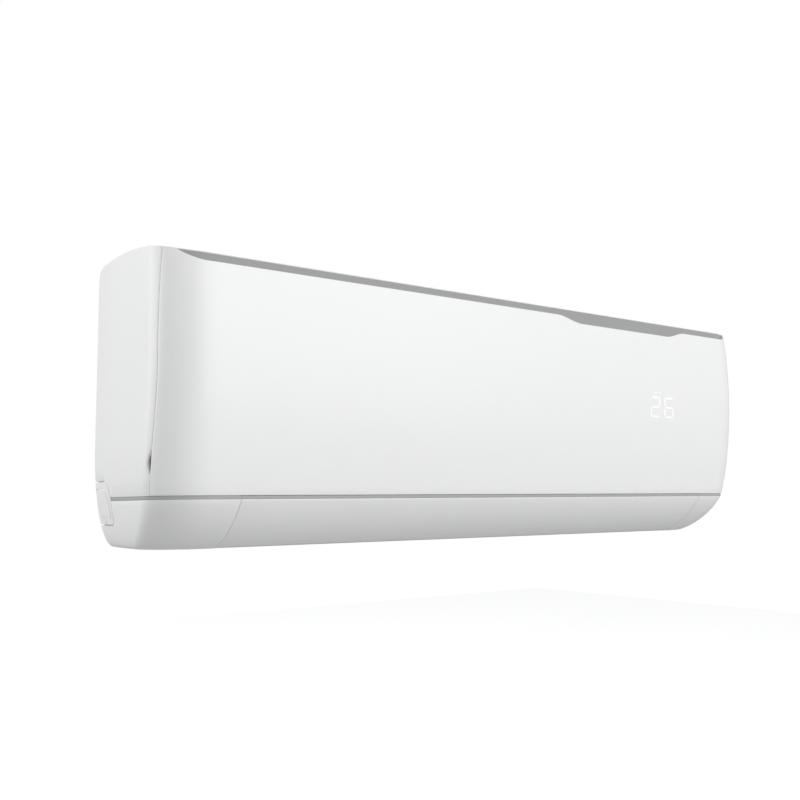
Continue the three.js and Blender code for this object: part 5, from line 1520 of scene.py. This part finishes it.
@dataclass
class Studio:
    """Camera, lamps, floor and world, in metres and degrees."""

    place: Point = (-0.71569, -0.94735, -0.12505)
    yaw: float = 35.8935
    pitch: float = 6.3135
    roll: float = -0.5854
    lens: float = 41.6924
    sensor: float = 36.0
    clip: Flat = (0.02, 60.0)
    lamps: tuple[Lamp, ...] = (
        Lamp("front_lamp", (1.15, -4.3, 1.6), 4.6, 176.0),
        Lamp("left_lamp", (-4.1, 2.9, 2.0), 4.8, 222.0),
        Lamp("top_lamp", (0.1, -0.5, 2.6), 1.8, 5.0),
    )
    aim: Point = (0.0, -0.1, 0.0)
    world_color: Point = (0.97, 0.985, 1.0)
    world_strength: float = 0.335
    floor_size: float = 12.0
    floor_height: float = -1.0
    floor_color: Point = (0.5, 0.5, 0.5)
    floor_glow: float = 0.75

    def set_camera(self) -> None:
        """Puts the camera where the photograph was taken from."""
        yaw, pitch = math.radians(self.yaw), math.radians(self.pitch)
        level = math.cos(pitch)
        forward = Vector((math.sin(yaw) * level, math.cos(yaw) * level, math.sin(pitch)))
        data = bpy.data.cameras.new("photo_camera")
        data.lens = self.lens
        data.sensor_width = self.sensor
        data.clip_start, data.clip_end = self.clip
        camera = bpy.data.objects.new("photo_camera", data)
        camera.location = self.place
        camera.rotation_mode = "QUATERNION"
        roll = Quaternion((0.0, 0.0, 1.0), math.radians(self.roll))
        camera.rotation_quaternion = forward.to_track_quat("-Z", "Y") @ roll
        bpy.context.scene.collection.objects.link(camera)
        bpy.context.scene.camera = camera

    def set_lamp(self, lamp: Lamp) -> None:
        """Hangs a lamp."""
        data = bpy.data.lights.new(lamp.name, "AREA")
        data.size = lamp.size
        data.energy = lamp.power
        hung = bpy.data.objects.new(lamp.name, data)
        hung.location = lamp.place
        hung.rotation_mode = "QUATERNION"
        toward = Vector(self.aim) - Vector(lamp.place)
        hung.rotation_quaternion = toward.to_track_quat("-Z", "Y")
        bpy.context.scene.collection.objects.link(hung)

    def set_world(self) -> None:
        """Makes an even world that the camera sees as plain white."""
        world = bpy.data.worlds.new("studio")
        bpy.context.scene.world = world
        world.use_nodes = True
        tree = world.node_tree
        light = tree.nodes["Background"]
        light.inputs["Color"].default_value = (*self.world_color, 1.0)
        light.inputs["Strength"].default_value = self.world_strength
        shown = tree.nodes.new("ShaderNodeBackground")
        shown.inputs["Color"].default_value = (1.0, 1.0, 1.0, 1.0)
        paths = tree.nodes.new("ShaderNodeLightPath")
        mix = tree.nodes.new("ShaderNodeMixShader")
        tree.links.new(paths.outputs["Is Camera Ray"], mix.inputs[0])
        tree.links.new(light.outputs[0], mix.inputs[1])
        tree.links.new(shown.outputs[0], mix.inputs[2])
        tree.links.new(mix.outputs[0], tree.nodes["World Output"].inputs["Surface"])

    def set_floor(self) -> None:
        """Lays a pale floor well below the unit."""
        clear_selection()
        bpy.ops.mesh.primitive_plane_add(size=self.floor_size,
                                         location=(0.0, 0.0, self.floor_height))
        floor = bpy.context.object
        floor.name = "studio_floor"
        material = bpy.data.materials.new("floor_white")
        material.use_nodes = True
        tree = material.node_tree
        shader = tree.nodes["Principled BSDF"]
        shader.inputs["Base Color"].default_value = (*self.floor_color, 1.0)
        shader.inputs["Roughness"].default_value = 0.9
        shown = tree.nodes.new("ShaderNodeEmission")
        shown.inputs["Strength"].default_value = self.floor_glow
        seen = tree.nodes.new("ShaderNodeLightPath")
        none = tree.nodes.new("ShaderNodeEmission")
        none.inputs["Strength"].default_value = 0.0
        mix = tree.nodes.new("ShaderNodeMixShader")
        add = tree.nodes.new("ShaderNodeAddShader")
        tree.links.new(seen.outputs["Is Camera Ray"], mix.inputs[0])
        tree.links.new(none.outputs[0], mix.inputs[1])
        tree.links.new(shown.outputs[0], mix.inputs[2])
        tree.links.new(shader.outputs[0], add.inputs[0])
        tree.links.new(mix.outputs[0], add.inputs[1])
        tree.links.new(add.outputs[0], tree.nodes["Material Output"].inputs["Surface"])
        floor.data.materials.append(material)

    def build(self) -> None:
        """Sets the whole studio."""
        bpy.context.scene.view_settings.view_transform = "Standard"
        self.set_camera()
        self.set_world()
        self.set_floor()
        for lamp in self.lamps:
            self.set_lamp(lamp)


def main() -> None:
    """Builds the unit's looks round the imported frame."""
    logging.basicConfig(level=logging.INFO, format="%(name)s %(message)s")
    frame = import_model()
    Studio().build()
    finisher = Finisher()
    dress_nodes(finisher, frame["nodes"])
    for assembly in (FrontPanel, TrimRing, OutletLouver, EndCovers, IntakeGrille, CoilFins,
                     DisplayFigures):
        assembly(finisher).build()
    clear_selection()


if __name__ == "__main__":
    main()
